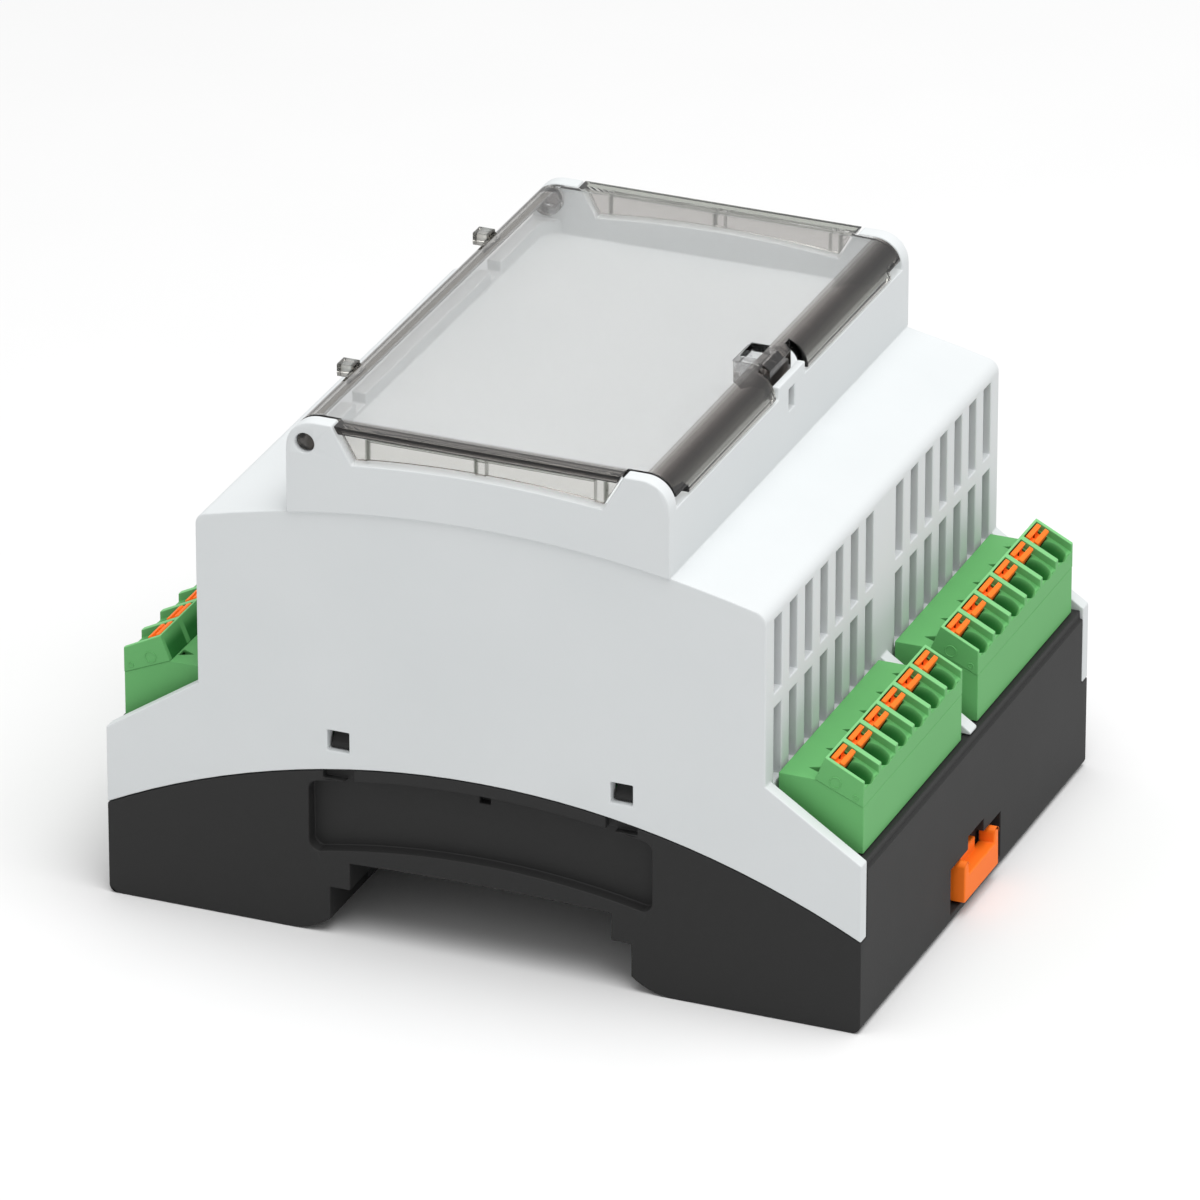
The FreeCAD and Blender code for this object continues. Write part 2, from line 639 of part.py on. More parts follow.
    bay_half = s.bay_width / 2
    backing_half = bay_half + s.bay_wall
    backing = box(base_inside - s.bay_wall, base_inside + s.overlap, -backing_half, backing_half)
    backing_height = s.port_head + s.port_cover - s.toe_height
    pad(body, "bay_backing", "XY_Plane", [backing], backing_height, shift=s.toe_height)
    bay = box(-bay_half, bay_half, s.bay_foot, s.bay_head)
    pocket(body, "handle_bay", "YZ_Plane", [bay], s.bay_depth, shift=half_width)
    port = box(-s.port_width / 2, s.port_width / 2, s.latch_top - s.overlap, s.port_head)
    wall_depth = s.side_wall + s.bay_wall + s.past
    pocket(body, "port", "YZ_Plane", [port], wall_depth, shift=half_width)
    tongue_half = s.latch_width / 2 + s.latch_play
    slot = box(-tongue_half, tongue_half, s.latch_foot - s.latch_play, s.latch_top + s.latch_play)
    pocket(body, "tongue_slot", "YZ_Plane", [slot], wall_depth, shift=half_width)
    nose = box(-tongue_half, tongue_half, s.latch_foot - s.latch_play, flange_under)
    pocket(body, "nose_slot", "YZ_Plane", [nose], s.leg_wall + s.past * 2, shift=leg_inside + s.past)
    guide_start = leg_inside + s.guide_gap
    guide_end = base_inside - s.bay_wall - s.guide_gap
    guide = box(guide_start, guide_end, tongue_half, tongue_half + s.guide_wall)
    low_guide = box(guide_start, guide_end, -tongue_half - s.guide_wall, -tongue_half)
    guide_height = s.latch_top + s.guide_wall - s.toe_height
    pad(body, "latch_guides", "XY_Plane", [guide, low_guide], guide_height, shift=s.toe_height)
    keeper_z = s.latch_top + s.latch_play
    keeper_start = leg_inside + s.keeper_place
    keeper_end = keeper_start + s.keeper_length
    keeper = box(keeper_start, keeper_end, tongue_half - s.keeper_bite, tongue_half + s.overlap)
    low_keeper = box(keeper_start, keeper_end, -tongue_half - s.overlap, s.keeper_bite - tongue_half)
    pad(body, "latch_keepers", "XY_Plane", [keeper, low_keeper], s.keeper_wall, shift=keeper_z)
    stop = [((leg_inside + s.stop_place, 0), s.stop_diameter)]
    pad(body, "latch_stop", "XY_Plane", stop, s.latch_top - s.toe_height, shift=s.toe_height)
    return body


def make_upper_housing():
    """Light grey upper moulding: vented body, sloping end plates, collar with ears and tray."""
    body = new_body("upper_housing")
    foot = seam(body_half) + s.seam_gap
    middle = s.seam_middle + s.seam_gap
    section = [
        (body_half, foot),
        (body_half, shoulder_side),
        arc((0, shoulder_middle), (-body_half, shoulder_side)),
        (-body_half, foot),
        arc((0, middle), (body_half, foot)),
    ]
    pad(body, "section", "XZ_Plane", [section], end_face * 2, both=True)
    round_edges(body, "shoulder_edges", s.shoulder_round, is_shoulder_edge)
    side = s.seam_side + s.seam_gap
    plate = [
        (half_width, side),
        (half_width, s.slope_top),
        (body_half, s.slope_foot),
        (-body_half, s.slope_foot),
        (-half_width, s.slope_top),
        (-half_width, side),
        arc((0, middle), (half_width, side)),
    ]
    plate_wall = end_face - inner_end
    front = pad(body, "end_plate", "XZ_Plane", [plate], plate_wall, shift=end_face, back=True)
    mirror(body, "end_plate_rear", [front], "XZ_Plane")
    collar_foot = shoulder(collar_half)
    collar = [
        (collar_half, collar_foot),
        (collar_half, rim_left),
        (-collar_half, rim_left),
        (-collar_half, collar_foot),
        arc((0, shoulder_middle), (collar_half, collar_foot)),
    ]
    pad(body, "collar", "XZ_Plane", [collar], s.length, both=True)

    inside = body_half - s.upper_wall
    roof_foot = shoulder_side - s.roof
    roof_head = shoulder(tray_half) - s.roof
    hollow = [
        (inside, s.seam_side - s.past),
        (inside, roof_foot),
        (tray_half, roof_head),
        (tray_half, tray_under),
        (-tray_half, tray_under),
        (-tray_half, roof_head),
        (-inside, roof_foot),
        (-inside, s.seam_side - s.past),
    ]
    pocket(body, "hollow", "XZ_Plane", [hollow], inner_end * 2, both=True)
    wall_end = inner_end - s.seam_gap
    skirt = box(inside, body_half, -wall_end, wall_end)
    skirt_height = s.seam_middle - upper_foot
    pad(body, "wall_skirts", "XY_Plane", [skirt, flip(skirt)], skirt_height, shift=upper_foot)

    right_wall = box(tray_half, collar_half, -inner_end, inner_end)
    rim_start = rim_left - s.rim_root
    pad(body, "right_rim", "XY_Plane", [right_wall], rim_right - rim_start, shift=rim_start)
    ears = [
        (collar_half, rim_start),
        *corner(collar_half, s.height, -1, -1, s.edge_round, False),
        (notch_top_half, s.height),
        (notch_foot_half, notch_foot_z),
        arc((0, notch_crown_z), (-notch_foot_half, notch_foot_z)),
        (-notch_top_half, s.height),
        *corner(-collar_half, s.height, 1, -1, s.edge_round, True),
        (-collar_half, rim_start),
    ]
    front = pad(body, "ears", "XZ_Plane", [ears], s.end_wall, shift=half_length, back=True)
    mirror(body, "ears_rear", [front], "XZ_Plane")

    tray_end = inner_end
    turn = s.tray_round
    tray = [
        *corner(tray_half, -tray_end, -1, 1, turn, True),
        *corner(tray_half, tray_end, -1, -1, turn, False),
        *corner(-tray_half, tray_end, 1, -1, turn, True),
        *corner(-tray_half, -tray_end, 1, 1, turn, False),
    ]
    pocket(body, "tray", "XY_Plane", [tray], s.height - tray_floor, shift=s.height)

    tab_inside = collar_half - s.tab_wall
    relief_half = s.clasp_gap / 2 - s.relief_gap
    relief = box(tray_half - s.past, tab_inside, -relief_half, relief_half)
    pocket(body, "clasp_relief", "XY_Plane", [relief], s.height - tray_floor, shift=s.height)
    tab = box(tab_inside, collar_half, -s.tab_width / 2, s.tab_width / 2)
    pad(body, "tab", "XY_Plane", [tab], s.height - s.tab_drop - rim_start, shift=rim_start)
    window_foot = s.height - s.tab_window_drop
    window = box(-s.tab_window / 2, s.tab_window / 2, window_foot, window_foot + s.tab_window_rise)
    pocket(body, "tab_window", "YZ_Plane", [window], s.tab_wall + s.past, shift=collar_half)

    lug_inner = s.lug_place - s.lug_width / 2 - s.lug_play
    lug_outer = s.lug_place + s.lug_width / 2 + s.lug_play
    lug_slot = box(-collar_half - s.past, -tray_half + s.past, lug_inner, lug_outer)
    low_lug_slot = box(-collar_half - s.past, -tray_half + s.past, -lug_outer, -lug_inner)
    lug_depth = rim_left - tray_floor - s.lug_play
    pocket(body, "lug_slots", "XY_Plane", [lug_slot, low_lug_slot], lug_depth, shift=rim_left)

    starts = (s.vent_first, -s.vent_first - s.vent_width - vent_pitch * (s.vent_count - 1))
    slots = [
        box(start, start + s.vent_width, foot, foot + vent_row)
        for start in starts
        for foot in (s.vent_foot, vent_head - vent_row)
    ]
    first = pocket(body, "vents", "YZ_Plane", slots, s.width, both=True)
    repeat(body, "vent_rows", [first], "Y_Axis", vent_pitch, s.vent_count)

    shelf = s.base_top + s.shelf_gap
    block_floor = base_inside - s.block_gap
    plate_tip = half_width - s.step_depth - s.shelf_gap
    partition = [
        (body_half - s.overlap, upper_foot),
        (block_floor, upper_foot),
        (block_floor, shelf),
        (plate_tip, shelf),
        (plate_tip, s.slope_top + s.partition_rise),
        (body_half - s.overlap, s.slope_foot + s.partition_rise),
    ]
    pad(body, "partitions", "XZ_Plane", [partition, flip(partition)], s.partition, both=True)

    window_half = s.snap_window / 2
    snap = box(s.snap_place - window_half, s.snap_place + window_half, s.snap_window_foot, s.snap_window_head)
    pocket(body, "snap_windows", "XZ_Plane", [snap, flip(snap)], s.length + s.past * 2, both=True)
    hole = ((-s.hinge_x, hinge_z), s.pin_diameter + s.pin_play * 2)
    pocket(body, "hinge_holes", "XZ_Plane", [hole], s.length + s.past * 2, both=True)
    return body


# Two places nearer than this are the same place.
CLOSE = 0.01


def is_shoulder_edge(edge):
    """A straight edge along the rail where the vented wall meets the shoulder."""
    points = [vertex.Point for vertex in edge.Vertexes]
    along_rail = len(points) == 2 and abs(points[0].x - points[1].x) < CLOSE
    return along_rail and all(
        abs(abs(point.x) - body_half.number) < CLOSE and abs(point.z - shoulder_side.number) < CLOSE
        for point in points
    )


def make_hinged_cover():
    """See-through cover: plate with rolled long edges, end lips and skirts, hinge pins and snap arm."""
    body = new_body("hinged_cover")
    top = s.height
    turn = s.edge_round
    wall = s.cover_wall
    under = top - wall
    inner_turn = turn - wall
    grip_foot = top - s.grip_drop
    arm_foot = top - s.clasp_arm_drop
    inner_edge = collar_half - wall
    section = [
        *corner(collar_half, top, -1, -1, turn, False),
        *corner(-collar_half, top, 1, -1, turn, True),
        *corner(-inner_edge, under, 1, -1, inner_turn, False),
        *corner(inner_edge, under, -1, -1, inner_turn, True),
    ]
    pad(body, "section", "XZ_Plane", [section], cover_half * 2, both=True)

    slant = (notch_top_half - notch_foot_half) / (top - notch_foot_z)
    lip_under = top - s.lip_height

    def side_of_notch(z):
        return notch_top_half - s.notch_gap - slant * (top - z)

    lip = [
        (side_of_notch(top), top),
        (-side_of_notch(top), top),
        (-side_of_notch(lip_under), lip_under),
        (side_of_notch(lip_under), lip_under),
    ]
    skirt_foot = notch_foot_z + s.notch_gap
    skirt = [
        (side_of_notch(top - s.overlap), top - s.overlap),
        (-side_of_notch(top - s.overlap), top - s.overlap),
        (-side_of_notch(skirt_foot), skirt_foot),
        arc((0, notch_crown_z + s.notch_gap), (side_of_notch(skirt_foot), skirt_foot)),
    ]
    skirt_face = half_length - s.skirt_set_back
    lip_length = half_length - cover_half + wall
    label_inner = s.label_start - s.label_window
    label_head = s.height - s.label_drop
    label_low = label_head - s.label_last
    last_start = s.label_pitch * 2 - s.label_start
    last_label = [
        (last_start, label_head),
        (last_start, label_low),
        (side_of_notch(label_low) - s.label_frame, label_low),
        (side_of_notch(label_head) - s.label_frame, label_head),
    ]
    labels = [
        box(-s.label_start, -label_inner, notch_foot_z - s.past, label_head),
        box(s.label_pitch - s.label_start, s.label_pitch - label_inner, notch_foot_z - s.past, label_head),
        last_label,
    ]
    axle = (-s.hinge_x, hinge_z)
    pin_length = s.end_wall + s.pin_sunk
    pin_end = half_length - s.pin_sunk
    front = [
        pad(body, "lip", "XZ_Plane", [lip], lip_length, shift=half_length, back=True),
        pad(body, "end_skirt", "XZ_Plane", [skirt], s.skirt_wall, shift=skirt_face, back=True),
        pocket(body, "labels", "XZ_Plane", labels, s.label_depth, shift=skirt_face),
        pad(body, "hinge_boss", "XZ_Plane", [(axle, s.boss_diameter)], wall, shift=cover_half, back=True),
        pad(body, "hinge_pin", "XZ_Plane", [(axle, s.pin_diameter)], pin_length, shift=pin_end, back=True),
    ]
    mirror(body, "rear_end", front, "XZ_Plane")

    grip = box(s.grip_near, s.grip_far, -s.grip_width / 2, s.grip_width / 2)
    pad(body, "grip_box", "XY_Plane", [grip], under + s.overlap - grip_foot, shift=grip_foot)
    grip_hole = box(
        s.grip_near + s.grip_wall, s.grip_far - s.grip_wall,
        s.grip_wall - s.grip_width / 2, s.grip_width / 2 - s.grip_wall,
    )
    pocket(body, "grip_hole", "XY_Plane", [grip_hole], top - grip_foot - s.grip_wall, shift=top)
    gap = box(s.clasp_inner, collar_half + s.past, -s.clasp_gap / 2, s.clasp_gap / 2)
    pocket(body, "clasp_break", "XY_Plane", [gap], turn + s.past, shift=top)
    arm_face = collar_half - s.tab_wall - s.clasp_play
    arm_back = arm_face - s.clasp_arm_wall
    root = top - s.cover_wall
    arm = [
        (s.clasp_inner - s.cover_wall, root),
        (arm_back, root - s.cover_wall),
        (arm_back, arm_foot),
        (arm_face, arm_foot),
        (arm_face, top - s.clasp_slant),
        (arm_face - s.clasp_slant, top),
        (s.clasp_inner - s.cover_wall, top),
    ]
    pad(body, "clasp_arm", "XZ_Plane", [arm], s.clasp_arm, both=True)
    barb_top = arm_foot + s.barb_rise + s.overlap
    barb = [
        (arm_face - s.overlap, arm_foot),
        (arm_face, arm_foot),
        (arm_face + s.barb, arm_foot + s.barb_rise),
        (arm_face + s.barb, barb_top),
        (arm_face - s.overlap, barb_top),
    ]
    pad(body, "clasp_barb", "XZ_Plane", [barb], s.tab_window - s.barb * 2, both=True)

    cut_inner = cover_half - s.skirt_gap
    cut_head = top - s.skirt_gap_head
    cut = box(cut_inner, cover_half + s.past, cut_head - turn, cut_head)
    low_cut = box(-cover_half - s.past, -cut_inner, cut_head - turn, cut_head)
    pocket(body, "skirt_ends", "YZ_Plane", [cut, low_cut], wall + s.past * 2, shift=collar_half + s.past)
    lug_tip = -collar_half - s.lug_reach
    lug_near = s.lug_place - s.lug_width / 2
    lug_far = s.lug_place + s.lug_width / 2
    lug = box(lug_tip, -inner_edge, lug_near, lug_far)
    low_lug = box(lug_tip, -inner_edge, -lug_far, -lug_near)
    pad(body, "lugs", "XY_Plane", [lug, low_lug], s.lug_height, shift=top - s.lug_drop)
    return body


def make_foot_latch():
    """Orange latch: a flat tongue with a nose under the rail's flange and a stirrup handle."""
    body = new_body("foot_latch")
    nose_tip = channel_half - s.rail_play - s.latch_bite
    handle_out = half_width + s.latch_proud
    handle_in = handle_out - s.handle_wall
    tongue_half = s.latch_width / 2
    tongue = box(nose_tip, handle_in + s.overlap, -tongue_half, tongue_half)
    pad(body, "tongue", "XY_Plane", [tongue], s.latch_top - s.latch_foot, shift=s.latch_foot)
    nose = [
        (nose_tip, s.latch_top - s.overlap),
        (nose_tip + s.nose_length, s.latch_top - s.overlap),
        (nose_tip + s.nose_length, flange_under - s.latch_play),
        (nose_tip, flange_under - s.latch_play),
    ]
    pad(body, "nose", "XZ_Plane", [nose], s.latch_width, both=True)
    ramp = [
        (nose_tip - s.past, s.latch_foot - s.past),
        (nose_tip + s.ramp_length, s.latch_foot - s.past),
        (nose_tip + s.ramp_length, s.latch_foot),
        (nose_tip, s.latch_top - s.ramp_lip),
        (nose_tip - s.past, s.latch_top - s.ramp_lip),
    ]
    pocket(body, "ramp", "XZ_Plane", [ramp], s.latch_width + s.past * 2, both=True)
    slot_half = s.stop_diameter / 2 + s.stop_play
    slot_end = leg_inside + s.stop_place + slot_half
    slot_start = leg_inside + s.stop_place - slot_half - s.latch_travel
    slot = [
        (slot_start + slot_half, -slot_half),
        (slot_end - slot_half, -slot_half),
        arc((slot_end, 0), (slot_end - slot_half, slot_half)),
        (slot_start + slot_half, slot_half),
        arc((slot_start, 0), (slot_start + slot_half, -slot_half)),
    ]
    slot_depth = s.latch_top - s.latch_foot + s.past * 2
    pocket(body, "stop_slot", "XY_Plane", [slot], slot_depth, shift=s.latch_top + s.past)
    outer = s.handle_width / 2
    inner = outer - s.handle_prong
    tip = s.handle_prong / 2
    handle = [
        (outer, s.handle_foot),
        (outer, s.handle_top - tip),
        arc((outer - tip, s.handle_top), (inner, s.handle_top - tip)),
        (inner, s.handle_bar),
        (-inner, s.handle_bar),
        (-inner, s.handle_top - tip),
        arc((tip - outer, s.handle_top), (-outer, s.handle_top - tip)),
        (-outer, s.handle_foot),
    ]
    pad(body, "handle", "YZ_Plane", [handle], s.handle_wall, shift=handle_in)
    rib_half = s.port_width / 2 - s.latch_play
    rib = box(handle_in - s.handle_rib, handle_in + s.overlap, -rib_half, rib_half)
    pad(body, "handle_rib", "XY_Plane", [rib], s.handle_top - s.latch_top, shift=s.latch_top - s.overlap)
    return body


first_pole = -pole_pitch * (s.pole_count - 1) / 2


def make_terminal_body(name, y, turned):
    """Lower part of a six-pole terminal block, with one contact chamber for each pole."""
    body = new_body(name)
    inner_face = body_half + s.block_gap
    low_face = base_inside - s.block_gap
    shelf = s.base_top + s.shelf_gap
    section = [
        (inner_face, s.board_top),
        (low_face, s.board_top),
        (low_face, shelf),
        (block_out, shelf),
        (block_out, cap_seam_z),
        (cap_foot, s.block_flat),
        (inner_face, s.block_flat),
    ]
    pad(body, "section", "XZ_Plane", [section], pole_pitch * s.pole_count, both=True)
    button_side = s.button_start - s.button_play
    deep = on_slope(button_side, s.button_height + s.button_travel + s.past)
    chamber = [
        on_slope(button_side, s.cap_rise / 2),
        deep,
        (deep[0], chamber_foot),
        (chamber_out, chamber_foot),
        (chamber_out, cap_out_z),
    ]
    shift = -first_pole
    tall = s.chamber_floor + s.past * 2
    hole = s.pin_hole / 2
    pin_hole = box(pin_place - hole, pin_place + hole, first_pole - hole, first_pole + hole)
    tip = cap_foot - s.pointer_gap
    pointer = [
        (tip, first_pole - s.pointer / 2),
        (tip, first_pole + s.pointer / 2),
        (tip - s.pointer, first_pole),
    ]
    cuts = [
        pocket(body, "chamber", "XZ_Plane", [chamber], pole_pitch - s.chamber_wall, shift=shift, both=True),
        pocket(body, "pin_hole", "XY_Plane", [pin_hole], tall, shift=chamber_foot + s.past),
        pocket(body, "pointer", "XY_Plane", [pointer], s.pointer_depth, shift=s.block_flat),
    ]
    repeat(body, "poles", cuts, "Y_Axis", pole_pitch, s.pole_count)
    place_body(body, y, turned)
    return body


def make_terminal_cap(name, y, turned):
    """Sloped cap of a terminal block: for each pole a button bay and a wire funnel."""
    body = new_body(name)
    section = [
        (cap_foot, s.block_flat),
        (block_out, cap_seam_z),
        (block_out, cap_out_z),
        (cap_ridge, cap_ridge_z),
    ]
    pad(body, "section", "XZ_Plane", [section], pole_pitch * s.pole_count + s.block_margin, both=True)
    sink = [
        on_slope(s.button_start - s.button_play, -s.past),
        on_slope(s.button_start - s.button_play, s.pole_sink),
        on_slope(slope_length + s.past, s.pole_sink),
        on_slope(slope_length + s.past, -s.past),
    ]
    bay_start = s.button_start - s.button_play
    bay_end = s.button_start + s.button_length + s.button_play
    bay = [
        on_slope(bay_start, -s.past),
        on_slope(bay_start, s.button_height + s.button_travel + s.past),
        on_slope(bay_end, s.button_height + s.button_travel + s.past),
        on_slope(bay_end, -s.past),
    ]
    shift = -first_pole
    sunk = pocket(body, "pole_sink", "XZ_Plane", [sink], pole_pitch - s.bay_rib, shift=shift, both=True)
    bay_width = button_width + s.button_play * 2
    bays = pocket(body, "button_bay", "XZ_Plane", [bay], bay_width, shift=shift, both=True)
    sketch = new_sketch(body, "funnel_sketch", "XZ_Plane", shift)
    mouth = s.funnel_diameter / 2
    throat = s.funnel_throat / 2
    cone_foot = s.pole_sink + s.funnel_depth
    half = [
        on_slope(s.funnel_place, -s.past),
        on_slope(s.funnel_place, cone_foot),
        on_slope(s.funnel_place + throat, cone_foot),
        on_slope(s.funnel_place + mouth, s.pole_sink),
        on_slope(s.funnel_place + mouth, -s.past),
    ]
    add_outline(sketch, half)
    axis = sketch.addGeometry(Part.LineSegment(vector(half[0]), vector(half[1])), True)
    fix_point(sketch, axis, 1, half[0])
    fix_point(sketch, axis, 2, half[1])
    funnel = body.newObject("PartDesign::Groove", "funnel")
    funnel.Profile = sketch
    funnel.ReferenceAxis = (sketch, ["Axis0"])
    funnel.Angle = 360
    body.Tip = funnel
    repeat(body, "poles", [sunk, bays, funnel], "Y_Axis", pole_pitch, s.pole_count)
    place_body(body, y, turned)
    return body


def make_push_button(name, y, turned):
    """Orange release button with a screwdriver slot; it is pressed square to the slope."""
    body = new_body(name)
    start = s.button_start
    end = s.button_start + s.button_length
    block = [
        on_slope(start, -s.button_proud),
        on_slope(start, s.button_height),
        on_slope(end, s.button_height),
        on_slope(end, -s.button_proud),
    ]
    pad(body, "block", "XZ_Plane", [block], button_width, both=True)
    middle = s.button_start + s.button_length / 2
    slot = [
        on_slope(middle - s.button_slot / 2, -s.past),
        on_slope(middle - s.button_slot / 2, s.button_slot_depth),
        on_slope(middle + s.button_slot / 2, s.button_slot_depth),
        on_slope(middle + s.button_slot / 2, -s.past),
    ]
    far = button_width / 2
    pocket(body, "slot", "XZ_Plane", [slot], s.button_slot_length, shift=s.button_slot_length - far, back=False)
    place_body(body, y, turned)
    return body


def make_contact_set(name, y, turned):
    """Six metal clamping contacts with solder pins, one for each pole."""
    body = new_body(name)
    body.AllowCompound = True
    shift = -first_pole
    low = chamber_foot + s.contact_lift
    contact_width = pole_pitch - s.chamber_wall - s.contact_gap * 2
    leaf = chamber_out - s.contact_gap
    foot_start = pin_place - s.contact_foot
    contact_top = low + s.contact_height
    angle = [
        (foot_start, low),
        (leaf, low),
        (leaf, contact_top),
        (leaf - s.contact_wall, contact_top),
        (leaf - s.contact_wall, low + s.contact_wall),
        (foot_start, low + s.contact_wall),
    ]
    clamp = pad(body, "clamp", "XZ_Plane", [angle], contact_width, shift=shift, both=True)
    half = s.pin_side / 2
    pin_foot = board_under - s.pin_reach
    pin = box(pin_place - half, pin_place + half, first_pole - half, first_pole + half)
    pins = pad(body, "pin", "XY_Plane", [pin], low + s.overlap - pin_foot, shift=pin_foot)
    repeat(body, "poles", [clamp, pins], "Y_Axis", pole_pitch, s.pole_count)
    place_body(body, y, turned)
    return body


def make_circuit_board():
    """Board that carries the four terminal blocks, drilled for their solder pins."""
    body = new_body("circuit_board")
    side = base_inside - s.board_gap
    end = inner_end - s.doubler - s.board_gap
    pad(body, "sheet", "XY_Plane", [box(-side, side, -end, end)], s.board_thickness, shift=board_under)
    half = s.pin_hole / 2
    holes = [
        box(x - half, x + half, y + first_pole - half, y + first_pole + half)
        for x in (pin_place, -pin_place)
        for y in (block_place, -block_place)
    ]
    drill = pocket(body, "drill", "XY_Plane", holes, s.board_thickness + s.past * 2, shift=s.board_top + s.past)
    repeat(body, "drillings", [drill], "Y_Axis", pole_pitch, s.pole_count)
    return body


pieces = [make_housing_base(), make_circuit_board(), make_upper_housing(), make_hinged_cover(), make_foot_latch()]
BLOCKS = [
    ("right_front", -block_place, False),
    ("right_rear", block_place, False),
    ("left_front", -block_place, True),
    ("left_rear", block_place, True),
]
for place, y, turned in BLOCKS:
    pieces.append(make_terminal_body(f"terminal_body_{place}", y, turned))
    pieces.append(make_terminal_cap(f"terminal_cap_{place}", y, turned))
    pieces.append(make_contact_set(f"contact_set_{place}", y, turned))
    for pole in range(int(s.pole_count.number)):
        pole_y = y + first_pole + pole_pitch * pole
        pieces.append(make_push_button(f"push_button_{place}_{pole + 1}", pole_y, turned))

doc.recompute()
for thing in doc.Objects:
    if "Invalid" in thing.State or "Error" in thing.State:
        raise RuntimeError(f"{thing.Name} ({thing.Label}) failed: {thing.State}")
os.makedirs("parts", exist_ok=True)
for piece in pieces:
    shape = piece.Shape
    if shape.isNull() or not shape.isValid():
        raise RuntimeError(f"{piece.Label} has no valid shape")
    shape.exportStep(f"parts/{piece.Label}.step")
    size = shape.BoundBox
    corners = f"{size.XMin:.2f} {size.YMin:.2f} {size.ZMin:.2f} to {size.XMax:.2f} {size.YMax:.2f} {size.ZMax:.2f}"
    print(f"{piece.Label}: {len(shape.Solids)} solids, {shape.Volume:.1f} mm3, {corners}")
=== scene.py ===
# %% [markdown]
# A small equipment enclosure for a control cabinet: a black base, a light grey upper
# moulding with vents, a smoky see-through cover over a tray, four green terminal blocks
# with orange push buttons, and an orange foot latch.
# The CAD model gives every place and size. This file gives the mouldings their rounded
# edges and their plastics, and sets the light and the camera.

# %% Load the frame
import math
import bmesh
import bpy
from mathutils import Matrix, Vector
from mathutils.bvhtree import BVHTree


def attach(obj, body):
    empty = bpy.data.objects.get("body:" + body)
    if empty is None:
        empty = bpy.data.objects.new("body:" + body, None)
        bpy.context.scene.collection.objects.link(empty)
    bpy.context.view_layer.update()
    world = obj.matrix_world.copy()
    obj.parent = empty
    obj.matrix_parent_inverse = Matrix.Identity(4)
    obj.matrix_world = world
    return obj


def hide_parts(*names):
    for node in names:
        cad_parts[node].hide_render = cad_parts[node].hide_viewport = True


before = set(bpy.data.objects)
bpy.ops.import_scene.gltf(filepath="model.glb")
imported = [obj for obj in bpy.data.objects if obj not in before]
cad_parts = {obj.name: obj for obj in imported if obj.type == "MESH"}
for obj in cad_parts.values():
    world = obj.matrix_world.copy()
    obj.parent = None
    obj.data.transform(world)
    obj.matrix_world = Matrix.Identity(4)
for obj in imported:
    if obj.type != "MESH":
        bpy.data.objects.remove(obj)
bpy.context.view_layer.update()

# %% [markdown]
# Lengths on this object are read off in millimetres, and Blender works in metres.
# Colours are written as the hex values that a paint chart would give, and shaders want
# linear light, so one small function turns one into the other.

# %% Millimetres and colours
MM = 0.001


def linear(code):
    """A hex colour such as "#D0D5D5" as linear red, green, blue and alpha."""
    parts = [int(code[i:i + 2], 16) / 255 for i in (1, 3, 5)]
    return [c / 12.92 if c <= 0.04045 else ((c + 0.055) / 1.055) ** 2.4 for c in parts] + [1.0]


print("light grey is", [round(c, 3) for c in linear("#D0D5D5")])

# %% [markdown]
# A node tree is easier to read as a list of steps. This helper adds one node, sets its
# sockets by name or number, and links what is given to it: an output, or a node, which
# stands for its first output in use. Some sockets share their name with others, so they
# are called by number. On a Mix node these are the share, the two colours and the mixed
# colour. On a Map Range node they are the value, where its range starts and ends, and
# what the result then goes from and to, which is 0 and 1 unless given.

# %% One function for shader nodes
SHARE, FIRST, SECOND, MIXED = 0, 6, 7, 2
VALUE, START, END, LOW, HIGH = 0, 1, 2, 3, 4


def add(tree, kind, inputs=None, **settings):
    """Adds a node. inputs maps a socket's name or number to a value, an output or a node."""
    made = tree.nodes.new(kind)
    for key, value in settings.items():
        setattr(made, key, value)
    for key, value in (inputs or {}).items():
        if isinstance(value, bpy.types.Node):
            value = next(output for output in value.outputs if output.enabled)
        if isinstance(value, bpy.types.NodeSocket):
            tree.links.new(value, made.inputs[key])
        else:
            made.inputs[key].default_value = value
    return made


def new_material(name):
    """An empty material, its tree, and where a point lies on the object."""
    material = bpy.data.materials.new(name)
    material.use_nodes = True
    tree = material.node_tree
    tree.nodes.clear()
    return material, tree, add(tree, "ShaderNodeTexCoord").outputs["Object"]


print("node helper ready")

# %% [markdown]
# Moulded plastics have a matt skin, because the mould is spark eroded. That leaves a
# grain of about 0.1 mm, too fine to show at this distance, so it is drawn 0.25 to 0.3 mm
# coarse. The melt also flows unevenly, which gives faint, broad clouds in colour and in
# gloss, about 15 mm across. The refractive index is set below the 1.5 of the real
# plastics, because the gloss of the white surroundings would wash the colours out.

# %% Moulded plastic
CLOUD_SIZE = 15
UNEVEN_GLOSS = 0.05


